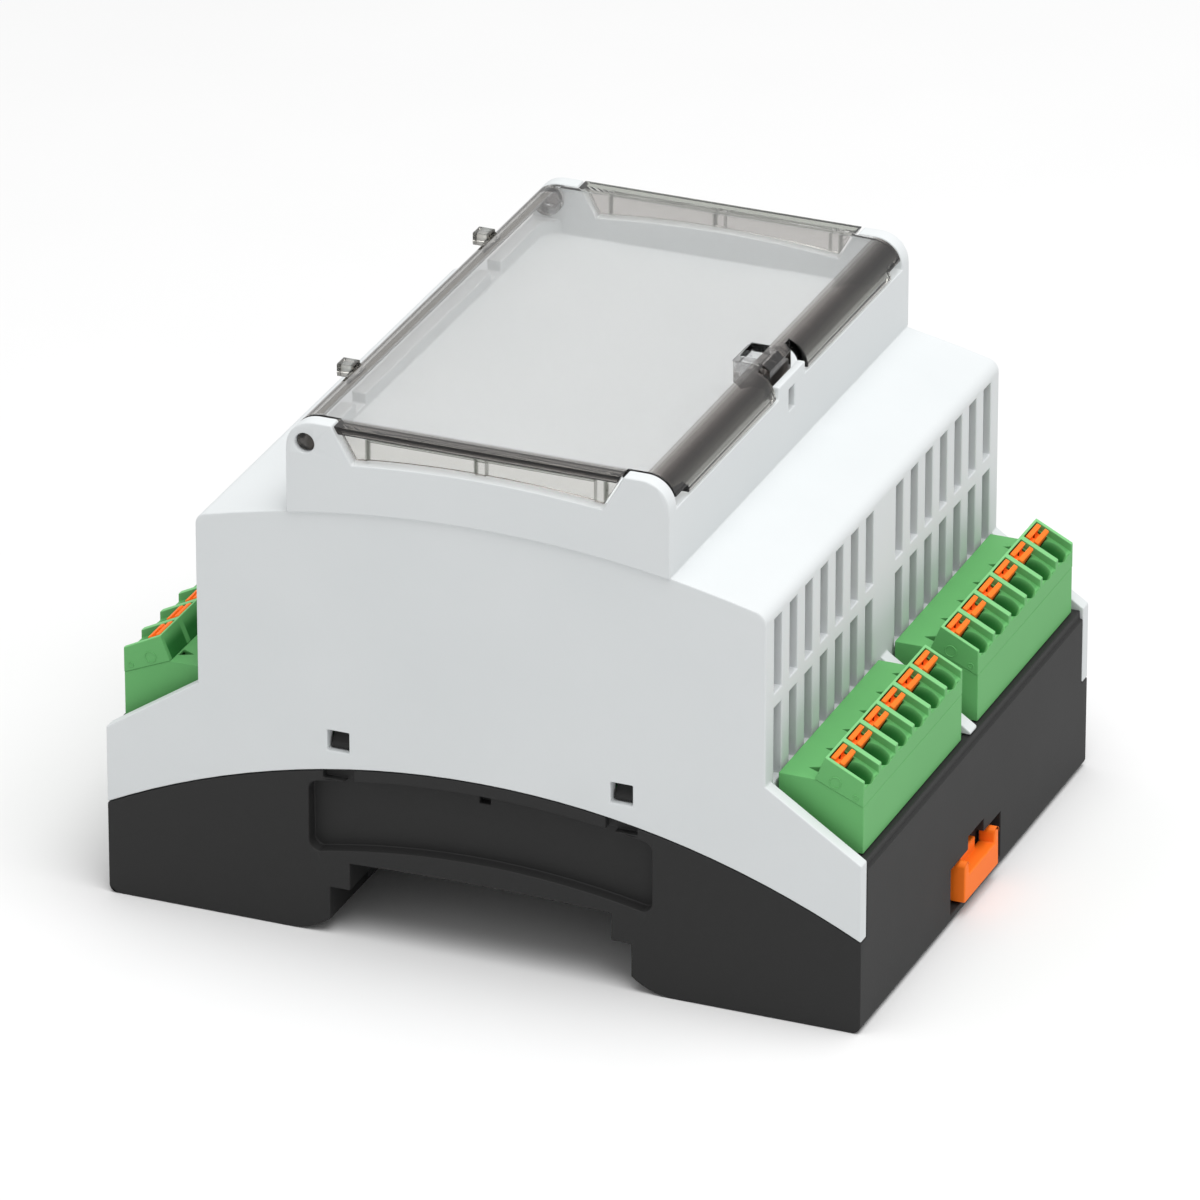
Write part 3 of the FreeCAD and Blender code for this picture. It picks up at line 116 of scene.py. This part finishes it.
def moulded(name, colour, pale, roughness, grain, grain_depth, ior):
    """A moulded plastic with flow clouds, uneven gloss and an eroded grain. Sizes in mm."""
    material, tree, place = new_material(name)
    clouds = add(tree, "ShaderNodeTexNoise", {
        "Vector": place, "Scale": 1 / (CLOUD_SIZE * MM), "Detail": 3.0})
    tint = add(tree, "ShaderNodeMix", {
        SHARE: clouds, FIRST: linear(colour), SECOND: linear(pale)}, data_type="RGBA")
    gloss = add(tree, "ShaderNodeMapRange", {
        VALUE: clouds, LOW: roughness - UNEVEN_GLOSS, HIGH: roughness + UNEVEN_GLOSS})
    fine = add(tree, "ShaderNodeTexNoise", {
        "Vector": place, "Scale": 1 / (grain * MM), "Detail": 2.0})
    bump = add(tree, "ShaderNodeBump", {
        "Height": fine, "Distance": grain_depth * MM, "Strength": 1.0})
    surface = add(tree, "ShaderNodeBsdfPrincipled", {
        "Base Color": tint, "Roughness": gloss, "IOR": ior, "Normal": bump})
    add(tree, "ShaderNodeOutputMaterial", {"Surface": surface})
    return material


grey_abs = moulded(
    "grey ABS moulded", "#D1D5D6", "#D8DBDC",
    roughness=0.6, grain=0.3, grain_depth=0.006, ior=1.42)
black_abs = moulded(
    "black ABS moulded", "#1F1F1F", "#242424",
    roughness=0.65, grain=0.3, grain_depth=0.01, ior=1.38)
green_polyamide, green_cap_painted_shade, orange_polyamide = [
    moulded(name, colour, pale, roughness=0.58, grain=0.25, grain_depth=0.005, ior=1.36)
    for name, colour, pale in (
        ("green polyamide moulded", "#5CA55F", "#6AB16C"),
        ("green polyamide cap with painted shade", "#5CA55F", "#6AB16C"),
        ("orange polyamide moulded", "#FF7010", "#FF7E1C"))]
print("moulded plastics made")

# %% [markdown]
# Each terminal cap has deep wire funnels, whose walls stand close to each other. Shade is
# painted into them: the green goes darker and more saturated the deeper down, and a
# painted highlight makes the thin rib tops pale. The painted shade goes by the depth below
# the cap's slope, which starts at a ridge. It stays near the axis of a pole and off the
# cap's outer face. The poles lie on multiples of 5 mm from the middle, and a ping-pong
# over half of that gives the way to an axis.

# %% Painted shade in the funnels
SLOPE = math.atan2(2.25, 4.45)
RIDGE_X, RIDGE_Z = 39.4, 31.4
POLE_PITCH = 5.0


def paint_funnel_shade(material):
    """Paints shade into a cap's plastic by how deep a point lies below the slope, and a
    highlight on the rib tops. Sizes in mm.
    """
    tree = material.node_tree
    surface = tree.nodes["Principled BSDF"]
    base_colour = surface.inputs["Base Color"]
    place = add(tree, "ShaderNodeTexCoord").outputs["Object"]
    x, y, z = add(tree, "ShaderNodeSeparateXYZ", {"Vector": place}).outputs
    out = add(tree, "ShaderNodeMath", {0: x}, operation="ABSOLUTE")
    past_ridge = add(tree, "ShaderNodeMath", {0: out, 1: RIDGE_X * MM}, operation="SUBTRACT")
    over_ridge = add(tree, "ShaderNodeMath", {0: z, 1: RIDGE_Z * MM}, operation="SUBTRACT")
    down = add(tree, "ShaderNodeMath", {
        0: over_ridge, 1: -math.cos(SLOPE)}, operation="MULTIPLY")
    depth = add(tree, "ShaderNodeMath", {
        0: past_ridge, 1: -math.sin(SLOPE), 2: down}, operation="MULTIPLY_ADD")
    to_axis = add(tree, "ShaderNodeMath", {
        0: y, 1: POLE_PITCH / 2 * MM}, operation="PINGPONG")
    inside = add(tree, "ShaderNodeMapRange", {
        VALUE: to_axis, START: 2.15 * MM, END: 1.95 * MM})
    # painted shade: the deeper below the slope, the darker the green
    deep = add(tree, "ShaderNodeMapRange", {
        VALUE: depth, START: 0.2 * MM, END: 1.9 * MM}, interpolation_type="SMOOTHSTEP")
    within = add(tree, "ShaderNodeMapRange", {
        VALUE: out, START: 43.6 * MM, END: 43.4 * MM})
    share = add(tree, "ShaderNodeMath", {0: inside, 1: deep}, operation="MULTIPLY")
    share = add(tree, "ShaderNodeMath", {0: share, 1: within}, operation="MULTIPLY")
    # the painted shade colour, laid on near a pole's axis and inside the outer face
    tint = add(tree, "ShaderNodeMix", {
        SHARE: share, FIRST: base_colour.links[0].from_socket, SECOND: linear("#1F6B2A")},
        data_type="RGBA")
    # painted highlight on the rib tops, where the depth is nearly zero
    rib_highlight = add(tree, "ShaderNodeMapRange", {
        VALUE: depth, START: 0.12 * MM, END: 0.04 * MM, HIGH: 0.5})
    tint = add(tree, "ShaderNodeMix", {
        SHARE: rib_highlight, FIRST: tint, SECOND: linear("#8FD691")}, data_type="RGBA")
    tree.links.new(tint.outputs[MIXED], base_colour)


paint_funnel_shade(green_cap_painted_shade)
print("funnel tint made")

# %% [markdown]
# The cover is smoke tinted polycarbonate. Its flat top is thin and clear enough to read
# through. Where it rolls over the long edges, the eye looks along the wall and not
# through it, and these strips are painted dark brown as shade, with painted highlight
# lines and dark streaks along the roll on the latch side, and a dark strip of painted
# shade on the hinge side. One ramp over 25 mm to each side gives the tint and this
# painted light across the cover, from the hinge side to the latch side.
# The end skirts are thin and clear. The steps round their sunk windows catch the light
# sideways, and this is painted as dark lines of shade. A second ramp paints those at the
# sides of the windows, and a comparison of heights paints those along the heads.

# %% Tint and painted shade across the cover
RAMP_REACH = 25.0
# places across the cover in mm with colours: the clear top, and on the rolls painted shade,
# highlight lines and dark streaks
COVER_TINT_SHADE_AND_HIGHLIGHTS = [
    (-24.0, "#A8A6A0"), (-22.6, "#A8A6A0"), (-22.3, "#D8D8D4"), (-21.7, "#D2D2CC"),
    (-21.55, "#3B3832"), (-20.4, "#47443D"), (-20.1, "#DADADA"), (18.95, "#DADADA"),
    (19.05, "#736D69"), (19.3, "#8F8A86"), (19.75, "#98938F"), (19.9, "#6C6662"),
    (20.3, "#544D4A"), (20.7, "#3F3835"), (21.0, "#241F1C"), (21.5, "#1C1916"),
    (21.8, "#3A3934"), (22.0, "#5E5F58"), (22.2, "#A0A19A"),
]
CLEAR_SKIRT, WINDOW_SHADE_LINE = "#D1CECA", "#55574F"
WINDOW_SIDES = (-13.15, -0.5, 0.8, 13.45, 14.75)
WINDOW_HEAD, HEAD_MIDDLE, HEAD_REACH = 60.7, 0.15, 13.3


def fill_ramp(ramp, stops):
    """Gives a ramp across the cover its stops, each a place along X in mm and a colour."""
    elements = ramp.color_ramp.elements
    for x, code in stops:
        elements.new((x + RAMP_REACH) / (2 * RAMP_REACH)).color = linear(code)
    elements.remove(elements[0])
    elements.remove(elements[-1])


def skirt_tint_with_shade_lines(tree, across, x, z):
    """The clear end skirts, with painted shade lines round their windows. Sizes in mm."""
    stops = [(-RAMP_REACH, CLEAR_SKIRT)]
    # painted shade lines at the sides of the windows
    for side in WINDOW_SIDES:
        stops += [
            (side - 0.17, CLEAR_SKIRT), (side - 0.13, WINDOW_SHADE_LINE),
            (side + 0.13, WINDOW_SHADE_LINE), (side + 0.17, CLEAR_SKIRT)]
    sides = add(tree, "ShaderNodeValToRGB", {0: across})
    fill_ramp(sides, stops)
    # painted shade lines along the window heads
    level = add(tree, "ShaderNodeMath", {
        0: z, 1: WINDOW_HEAD * MM, 2: 0.1 * MM}, operation="COMPARE")
    between = add(tree, "ShaderNodeMath", {
        0: x, 1: HEAD_MIDDLE * MM, 2: HEAD_REACH * MM}, operation="COMPARE")
    heads = add(tree, "ShaderNodeMath", {0: level, 1: between}, operation="MULTIPLY")
    return add(tree, "ShaderNodeMix", {
        SHARE: heads, FIRST: sides, SECOND: linear(WINDOW_SHADE_LINE)}, data_type="RGBA")


print("tints for", len(COVER_TINT_SHADE_AND_HIGHLIGHTS), "places across the cover")

# %% [markdown]
# Some places on the cover have a tint of their own: the lips that stand up at both ends
# are darker than the top, the front one painted dark brown as shade, where the eye looks
# lengthwise into the plate, and the rear one a paler grey-green. The skirt below the roll
# on the latch side is thin and nearly clear, the wall that hangs down on the hinge side
# is an even grey, and the hinge pins are painted nearly black: partly the smoke of their
# thick ends, partly painted shade of the holes in which they sit. Each place lies where
# two soft steps meet, so a loop lays them over the ramp one by one.
# Lamps pass through the cover as if it were film, and less so at a low angle, so the
# tray's floor is lit and its walls stay darker. Here too the refractive index is set
# below the real one, which is 1.585.

# %% Smoky polycarbonate


def cover_tint_and_painted_light(tree, place):
    """The smoke tint of a point on the cover, with its painted shade and highlights, by where
    the point lies. Sizes in mm.
    """
    x, y, z = add(tree, "ShaderNodeSeparateXYZ", {"Vector": place}).outputs
    along = add(tree, "ShaderNodeMath", {0: y}, operation="ABSOLUTE")
    across = add(tree, "ShaderNodeMapRange", {
        VALUE: x, START: -RAMP_REACH * MM, END: RAMP_REACH * MM})
    tint = add(tree, "ShaderNodeValToRGB", {0: across})
    fill_ramp(tint, COVER_TINT_SHADE_AND_HIGHLIGHTS)
    places = {
        # the front lip painted dark brown as shade, the rear lip a paler grey-green
        "front lip": (y, -33.4, -34.0, z, 60.9, 61.2, linear("#5E5955")),
        "rear lip": (y, 33.4, 34.0, z, 60.9, 61.2, linear("#A9ACA4")),
        "latch side skirt": (x, 20.9, 21.2, z, 59.5, 59.2, linear("#D0CECA")),
        "hinge side wall": (x, -20.9, -21.1, z, 60.9, 60.6, linear("#8A8A87")),
        "end skirts": (along, 33.7, 34.0, z, 61.1, 60.9, skirt_tint_with_shade_lines(tree, across, x, z)),
        # the hinge pins painted nearly black, partly as the shade of their holes
        "hinge pins": (along, 33.7, 33.9, x, -18.6, -18.8, linear("#2C2826")),
    }
    for name, (first, start, end, second, other_start, other_end, colour) in places.items():
        one = add(tree, "ShaderNodeMapRange", {VALUE: first, START: start * MM, END: end * MM})
        other = add(tree, "ShaderNodeMapRange", {
            VALUE: second, START: other_start * MM, END: other_end * MM})
        share = add(tree, "ShaderNodeMath", {0: one, 1: other}, operation="MULTIPLY")
        tint = add(tree, "ShaderNodeMix", {
            SHARE: share, FIRST: tint, SECOND: colour}, data_type="RGBA")
        print("cover tinted at the", name)
    return tint


def smoky_polycarbonate():
    """Smoky glass to the eye, and film to the lamps."""
    material, tree, place = new_material("smoky polycarbonate")
    clouds = add(tree, "ShaderNodeTexNoise", {
        "Vector": place, "Scale": 1 / (9 * MM), "Detail": 2.0})
    gloss = add(tree, "ShaderNodeMapRange", {VALUE: clouds, LOW: 0.02, HIGH: 0.06})
    glass = add(tree, "ShaderNodeBsdfPrincipled", {
        "Base Color": cover_tint_and_painted_light(tree, place), "Roughness": gloss,
        "IOR": 1.42, "Transmission Weight": 1.0})
    slant = add(tree, "ShaderNodeLayerWeight", {"Blend": 0.5}).outputs["Facing"]
    film = add(tree, "ShaderNodeMix", {
        SHARE: slant, FIRST: linear("#F4F4F4"), SECOND: linear("#707070")}, data_type="RGBA")
    clear = add(tree, "ShaderNodeBsdfTransparent", {"Color": film})
    to_lamp = add(tree, "ShaderNodeLightPath").outputs["Is Shadow Ray"]
    both = add(tree, "ShaderNodeMixShader", {0: to_lamp, 1: glass, 2: clear})
    smoke = add(tree, "ShaderNodeVolumeAbsorption", {
        "Color": linear("#B8AFA8"), "Density": 60.0})
    add(tree, "ShaderNodeOutputMaterial", {"Surface": both, "Volume": smoke})
    return material


polycarbonate = smoky_polycarbonate()

# %% [markdown]
# The circuit board is glass-filled epoxy with a green lacquer, and its weave of 1.2 mm
# shows faintly. The contacts are copper alloy strip with a tin coat, drawn out in fine
# lines as it was rolled. Both sit deep inside and show only as glints.

# %% Board and contacts


def lacquered_board():
    material, tree, place = new_material("glass epoxy lacquered")
    weave = add(tree, "ShaderNodeTexWave", {
        "Vector": place, "Scale": 1 / (1.2 * MM), "Distortion": 0.6}).outputs[1]
    tint = add(tree, "ShaderNodeMix", {
        SHARE: weave, FIRST: linear("#1F5A34"), SECOND: linear("#256A3D")}, data_type="RGBA")
    surface = add(tree, "ShaderNodeBsdfPrincipled", {
        "Base Color": tint, "Roughness": 0.3, "IOR": 1.5, "Coat Weight": 0.4})
    add(tree, "ShaderNodeOutputMaterial", {"Surface": surface})
    return material


def tinned_copper():
    material, tree, place = new_material("tinned copper strip")
    rolled = add(tree, "ShaderNodeMapping", {"Vector": place, "Scale": (1.0, 1.0, 0.05)})
    lines = add(tree, "ShaderNodeTexNoise", {"Vector": rolled, "Scale": 1 / (0.2 * MM)})
    gloss = add(tree, "ShaderNodeMapRange", {VALUE: lines, LOW: 0.25, HIGH: 0.4})
    surface = add(tree, "ShaderNodeBsdfPrincipled", {
        "Base Color": linear("#C9CBC8"), "Metallic": 1.0, "Roughness": gloss})
    add(tree, "ShaderNodeOutputMaterial", {"Surface": surface})
    return material


board_epoxy = lacquered_board()
tinned = tinned_copper()
print("inner materials made")

# %% [markdown]
# Every moulding starts as a copy of its CAD node. That node's triangles are loose, so
# the copy's are merged to one skin first, where corners lie within 0.002 mm.

# %% Copies of the CAD nodes
SAME_CORNER = 0.002


def deselect():
    """Leaves edit mode and selects nothing."""
    if bpy.context.object and bpy.context.object.mode != "OBJECT":
        bpy.ops.object.mode_set(mode="OBJECT")
    bpy.ops.object.select_all(action="DESELECT")


def pick(piece):
    """Makes one piece the selected and active one."""
    deselect()
    piece.select_set(True)
    bpy.context.view_layer.objects.active = piece


def copy_of(node, name):
    """A copy of a CAD node's mesh in a new object, with its loose triangles merged."""
    piece = bpy.data.objects.new(name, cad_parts[node].data.copy())
    bpy.context.collection.objects.link(piece)
    piece.data.materials.clear()
    pick(piece)
    bpy.ops.object.mode_set(mode="EDIT")
    bpy.ops.mesh.select_all(action="SELECT")
    bpy.ops.mesh.customdata_custom_splitnormals_clear()
    bpy.ops.mesh.remove_doubles(threshold=SAME_CORNER * MM)
    bpy.ops.object.mode_set(mode="OBJECT")
    return piece


print("copy helpers ready")

# %% [markdown]
# Real mouldings have no knife edges: every corner carries a radius of a tenth or two of
# a millimetre, and the light runs along it as a thin bright line, so a bevel rounds what
# is sharp. The skin stays in triangles, because large flat faces would fold at their
# holes. Where a face is too narrow for the full radius, the edge gets a smaller one, by
# its bevel weight: the room for it is the shortest edge that leaves its ends sideways.
# A bevel can still throw a corner off where many edges meet, and such a corner is pulled
# back to the nearest point of the sharp skin.

# %% Rounded edges
SHARP_FROM, SMOOTH_TO = math.radians(30), math.radians(50)
STRAIGHT_ON = -0.85
ROOM_USED = 0.42


def room_beside(edge, most):
    """The length of the shortest edge that leaves an edge's ends sideways, or most."""
    for corner in edge.verts:
        along = (edge.other_vert(corner).co - corner.co).normalized()
        for other in corner.link_edges:
            way = other.other_vert(corner).co - corner.co
            if other is not edge and along.dot(way.normalized()) > STRAIGHT_ON:
                most = min(most, way.length)
    return most


def soften(piece, radius):
    """Rounds the sharp edges of a piece, by radius in mm or less where there is no room."""
    width = radius * MM
    mesh = bmesh.new()
    mesh.from_mesh(piece.data)
    weight = mesh.edges.layers.float.new("bevel_weight_edge")
    for edge in mesh.edges:
        if len(edge.link_faces) == 2 and edge.calc_face_angle(0) >= SHARP_FROM:
            edge[weight] = min(1.0, ROOM_USED * room_beside(edge, 4 * width) / width)
    mesh.to_mesh(piece.data)
    sharp_skin = BVHTree.FromBMesh(mesh)
    mesh.free()
    pick(piece)
    bevel = piece.modifiers.new("radius", "BEVEL")
    bevel.limit_method = "WEIGHT"
    bevel.width = width
    bevel.segments = 2
    bevel.use_clamp_overlap = False
    bevel.loop_slide = False
    bpy.ops.object.modifier_apply(modifier=bevel.name)
    pulled = 0
    for corner in piece.data.vertices:
        near, _, _, far = sharp_skin.find_nearest(corner.co)
        if far > width / 2:
            corner.co = near
            pulled += 1
    if pulled:
        print(piece.name, "had", pulled, "corners pulled back to the skin")
    bpy.ops.object.shade_smooth_by_angle(angle=SMOOTH_TO)
    even = piece.modifiers.new("even", "WEIGHTED_NORMAL")
    even.keep_sharp = True
    even.weight = 100
    bpy.ops.object.modifier_apply(modifier=even.name)


print("edges sharper than", round(math.degrees(SHARP_FROM)), "degrees will be rounded")

# %% [markdown]
# Housing: the black base and the grey upper moulding. Both come from one mould each, so
# each stays one piece. The base has a radius of 0.15 mm, and the upper moulding, which
# looks softer, one of 0.18 mm. Each takes the place of its CAD node, on the same body.

# %% Housing


def dress(piece, node, body, material):
    """The piece stands for a CAD node, moves with its body and wears the material."""
    piece.data.materials.append(material)
    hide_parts(node)
    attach(piece, body)
    print(piece.name, len(piece.data.polygons), "faces")


base = copy_of("housing_base", "base_moulding")
soften(base, radius=0.15)
dress(base, "housing_base", "housing", black_abs)

upper = copy_of("upper_housing", "upper_moulding")
soften(upper, radius=0.18)
dress(upper, "upper_housing", "housing", grey_abs)

# %% [markdown]
# The cover and the latch are small mouldings of their own and move, so each rides on
# its own body.

# %% Cover and latch
cover = copy_of("hinged_cover", "cover_moulding")
soften(cover, radius=0.12)
dress(cover, "hinged_cover", "cover", polycarbonate)

latch = copy_of("foot_latch", "latch_moulding")
soften(latch, radius=0.2)
dress(latch, "foot_latch", "latch", orange_polyamide)

# %% [markdown]
# Each terminal block has a body, a sloping cap and six push buttons. The four blocks
# are alike, so one loop dresses them all. Each push button moves by itself, so it rides
# on a body of its own, which has the button's name. Its driver slot runs on through the
# near end, less deep there, so a thin box that lies along the slope cuts it open.

# %% Terminal blocks
GROOVE_SIZE = (0.5, 5.0, 0.9)
GROOVE_ALONG, GROOVE_BELOW = 1.3, 0.1


def groove(button):
    """Cuts the driver slot on through the near end of a button."""
    corners = [corner.co for corner in button.data.vertices]
    middle = sum(corners, Vector()) / len(corners)
    side = 1 if middle.x > 0 else -1
    x = RIDGE_X + math.cos(SLOPE) * GROOVE_ALONG - math.sin(SLOPE) * GROOVE_BELOW
    z = RIDGE_Z - math.sin(SLOPE) * GROOVE_ALONG - math.cos(SLOPE) * GROOVE_BELOW
    deselect()
    bpy.ops.mesh.primitive_cube_add(
        size=MM, location=(side * x * MM, middle.y, z * MM), rotation=(0, side * SLOPE, 0))
    cutter = bpy.context.object
    cutter.scale = GROOVE_SIZE
    pick(button)
    cut = button.modifiers.new("groove", "BOOLEAN")
    cut.operation = "DIFFERENCE"
    cut.solver = "EXACT"
    cut.object = cutter
    bpy.ops.object.modifier_apply(modifier=cut.name)
    bpy.data.objects.remove(cutter)


for node in sorted(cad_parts):
    if node.startswith(("terminal_body", "terminal_cap")):
        block = copy_of(node, node + "_moulding")
        soften(block, radius=0.1)
        green = green_cap_painted_shade if node.startswith("terminal_cap") else green_polyamide
        dress(block, node, "housing", green)
    if node.startswith("push_button"):
        button = copy_of(node, node + "_moulding")
        groove(button)
        soften(button, radius=0.16)
        dress(button, node, node, orange_polyamide)

# %% [markdown]
# The ends of the caps show two small rings each, where the mould's ejector pins and
# its vent plug met the plastic. They are turned as thin rings, half sunk in the face.

# %% Rings on the cap ends
RING_WIRE_RADIUS = 0.07
CAP_ENDS = {"front_outer": -32.6, "front_inner": -2.4, "rear_inner": 2.4, "rear_outer": 32.6}


def ring(name, x, y, z, radius):
    """A thin ring that lies on a cap's end face. Sizes in mm."""
    deselect()
    bpy.ops.mesh.primitive_torus_add(
        major_radius=radius * MM, minor_radius=RING_WIRE_RADIUS * MM,
        major_segments=28, minor_segments=8,
        location=(x * MM, y * MM, z * MM), rotation=(math.pi / 2, 0, 0))
    made = bpy.context.object
    made.name = name
    bpy.ops.object.transform_apply(location=True, rotation=True, scale=True)
    bpy.ops.object.shade_smooth()
    made.data.materials.append(green_polyamide)
    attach(made, "housing")


for side, side_name in ((-1, "left"), (1, "right")):
    for end, y in CAP_ENDS.items():
        ring(f"ring_{side_name}_{end}", side * 40.6, y, z=28.55, radius=0.65)
        ring(f"small_ring_{side_name}_{end}", side * 43.0, y, z=27.2, radius=0.3)
print("rings made on", 2 * len(CAP_ENDS), "cap ends")

# %% [markdown]
# The board and the contacts keep their CAD shapes and only get their materials.

# %% Nodes that keep their shape
for node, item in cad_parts.items():
    for start, material in (("circuit_board", board_epoxy), ("contact", tinned)):
        if node.startswith(start):
            item.data.materials.clear()
            item.data.materials.append(material)
            print(node, "is", material.name)

# %% [markdown]
# The stage: a white floor that runs on into a white world, lit like a product table.
# The floor is 6 m wide and lies a hair below the feet, so that the two never share a
# plane. One large soft lamp hangs over the object. The world is plain white for the
# camera, for gloss and for what is seen through the cover, and dimmer for the rest, so
# the plastics keep their colours.

# %% Floor and light
FLOOR_SIZE, FLOOR_GAP = 6, 0.02 * MM
SKY_LIGHT, SKY_SEEN = 0.6, 1.0

deselect()
bpy.ops.mesh.primitive_plane_add(size=FLOOR_SIZE, location=(0, 0, -FLOOR_GAP))
floor = bpy.context.object
floor.name = "floor"
white, tree, place = new_material("white table")
speckle = add(tree, "ShaderNodeTexNoise", {"Vector": place, "Scale": 40.0})
tint = add(tree, "ShaderNodeMix", {
    SHARE: speckle, FIRST: linear("#E8E8E8"), SECOND: linear("#EAEAEA")}, data_type="RGBA")
matt = add(tree, "ShaderNodeBsdfDiffuse", {"Color": tint})
add(tree, "ShaderNodeOutputMaterial", {"Surface": matt})
floor.data.materials.append(white)

world = bpy.data.worlds.new("studio")
bpy.context.scene.world = world
world.use_nodes = True
tree = world.node_tree
tree.nodes.clear()
rays = add(tree, "ShaderNodeLightPath").outputs
seen = add(tree, "ShaderNodeMath", {
    0: rays["Is Camera Ray"], 1: rays["Is Glossy Ray"]}, operation="MAXIMUM")
seen = add(tree, "ShaderNodeMath", {
    0: seen, 1: rays["Is Transmission Ray"]}, operation="MAXIMUM")
level = add(tree, "ShaderNodeMapRange", {VALUE: seen, LOW: SKY_LIGHT, HIGH: SKY_SEEN})
sky = add(tree, "ShaderNodeBackground", {"Color": (1, 1, 1, 1), "Strength": level})
add(tree, "ShaderNodeOutputWorld", {"Surface": sky})


def soft_lamp(name, place, aim, size, power):
    """A square area lamp, pointed at aim. Lengths in metres, power in watts."""
    deselect()
    bpy.ops.object.light_add(type="AREA", location=place)
    lamp = bpy.context.object
    lamp.name = name
    lamp.rotation_euler = (Vector(aim) - Vector(place)).to_track_quat("-Z", "Y").to_euler()
    lamp.data.size = size
    lamp.data.energy = power


soft_lamp("top_softbox", place=(0.2, -0.12, 0.9), aim=(0, 0, 0.03), size=0.8, power=7.8)
print("stage lit")

# %% [markdown]
# The camera stands where the photographer's did: a little to the right of the end face
# and above it, far away with a long lens, so the edges stay nearly parallel. The focal
# length is measured in pixels of a frame 1200 pixels wide, and the lens follows from it
# and the width of the sensor.

# %% Camera
YAW, PITCH = math.radians(22.384), math.radians(25.792)
SENSOR_WIDTH, FOCAL_PIXELS, FRAME_PIXELS = 36.0, 11638.5, 1200

deselect()
bpy.ops.object.camera_add(
    location=(0.4450, -1.0813, 0.5935), rotation=(math.pi / 2 - PITCH, 0, YAW))
camera = bpy.context.object
camera.name = "product_camera"
camera.data.sensor_width = SENSOR_WIDTH
camera.data.lens = SENSOR_WIDTH * FOCAL_PIXELS / FRAME_PIXELS
camera.data.clip_start, camera.data.clip_end = 0.05, 20.0
bpy.context.scene.camera = camera
bpy.context.scene.view_settings.view_transform = "Standard"
print("camera set with a lens of", round(camera.data.lens), "mm")
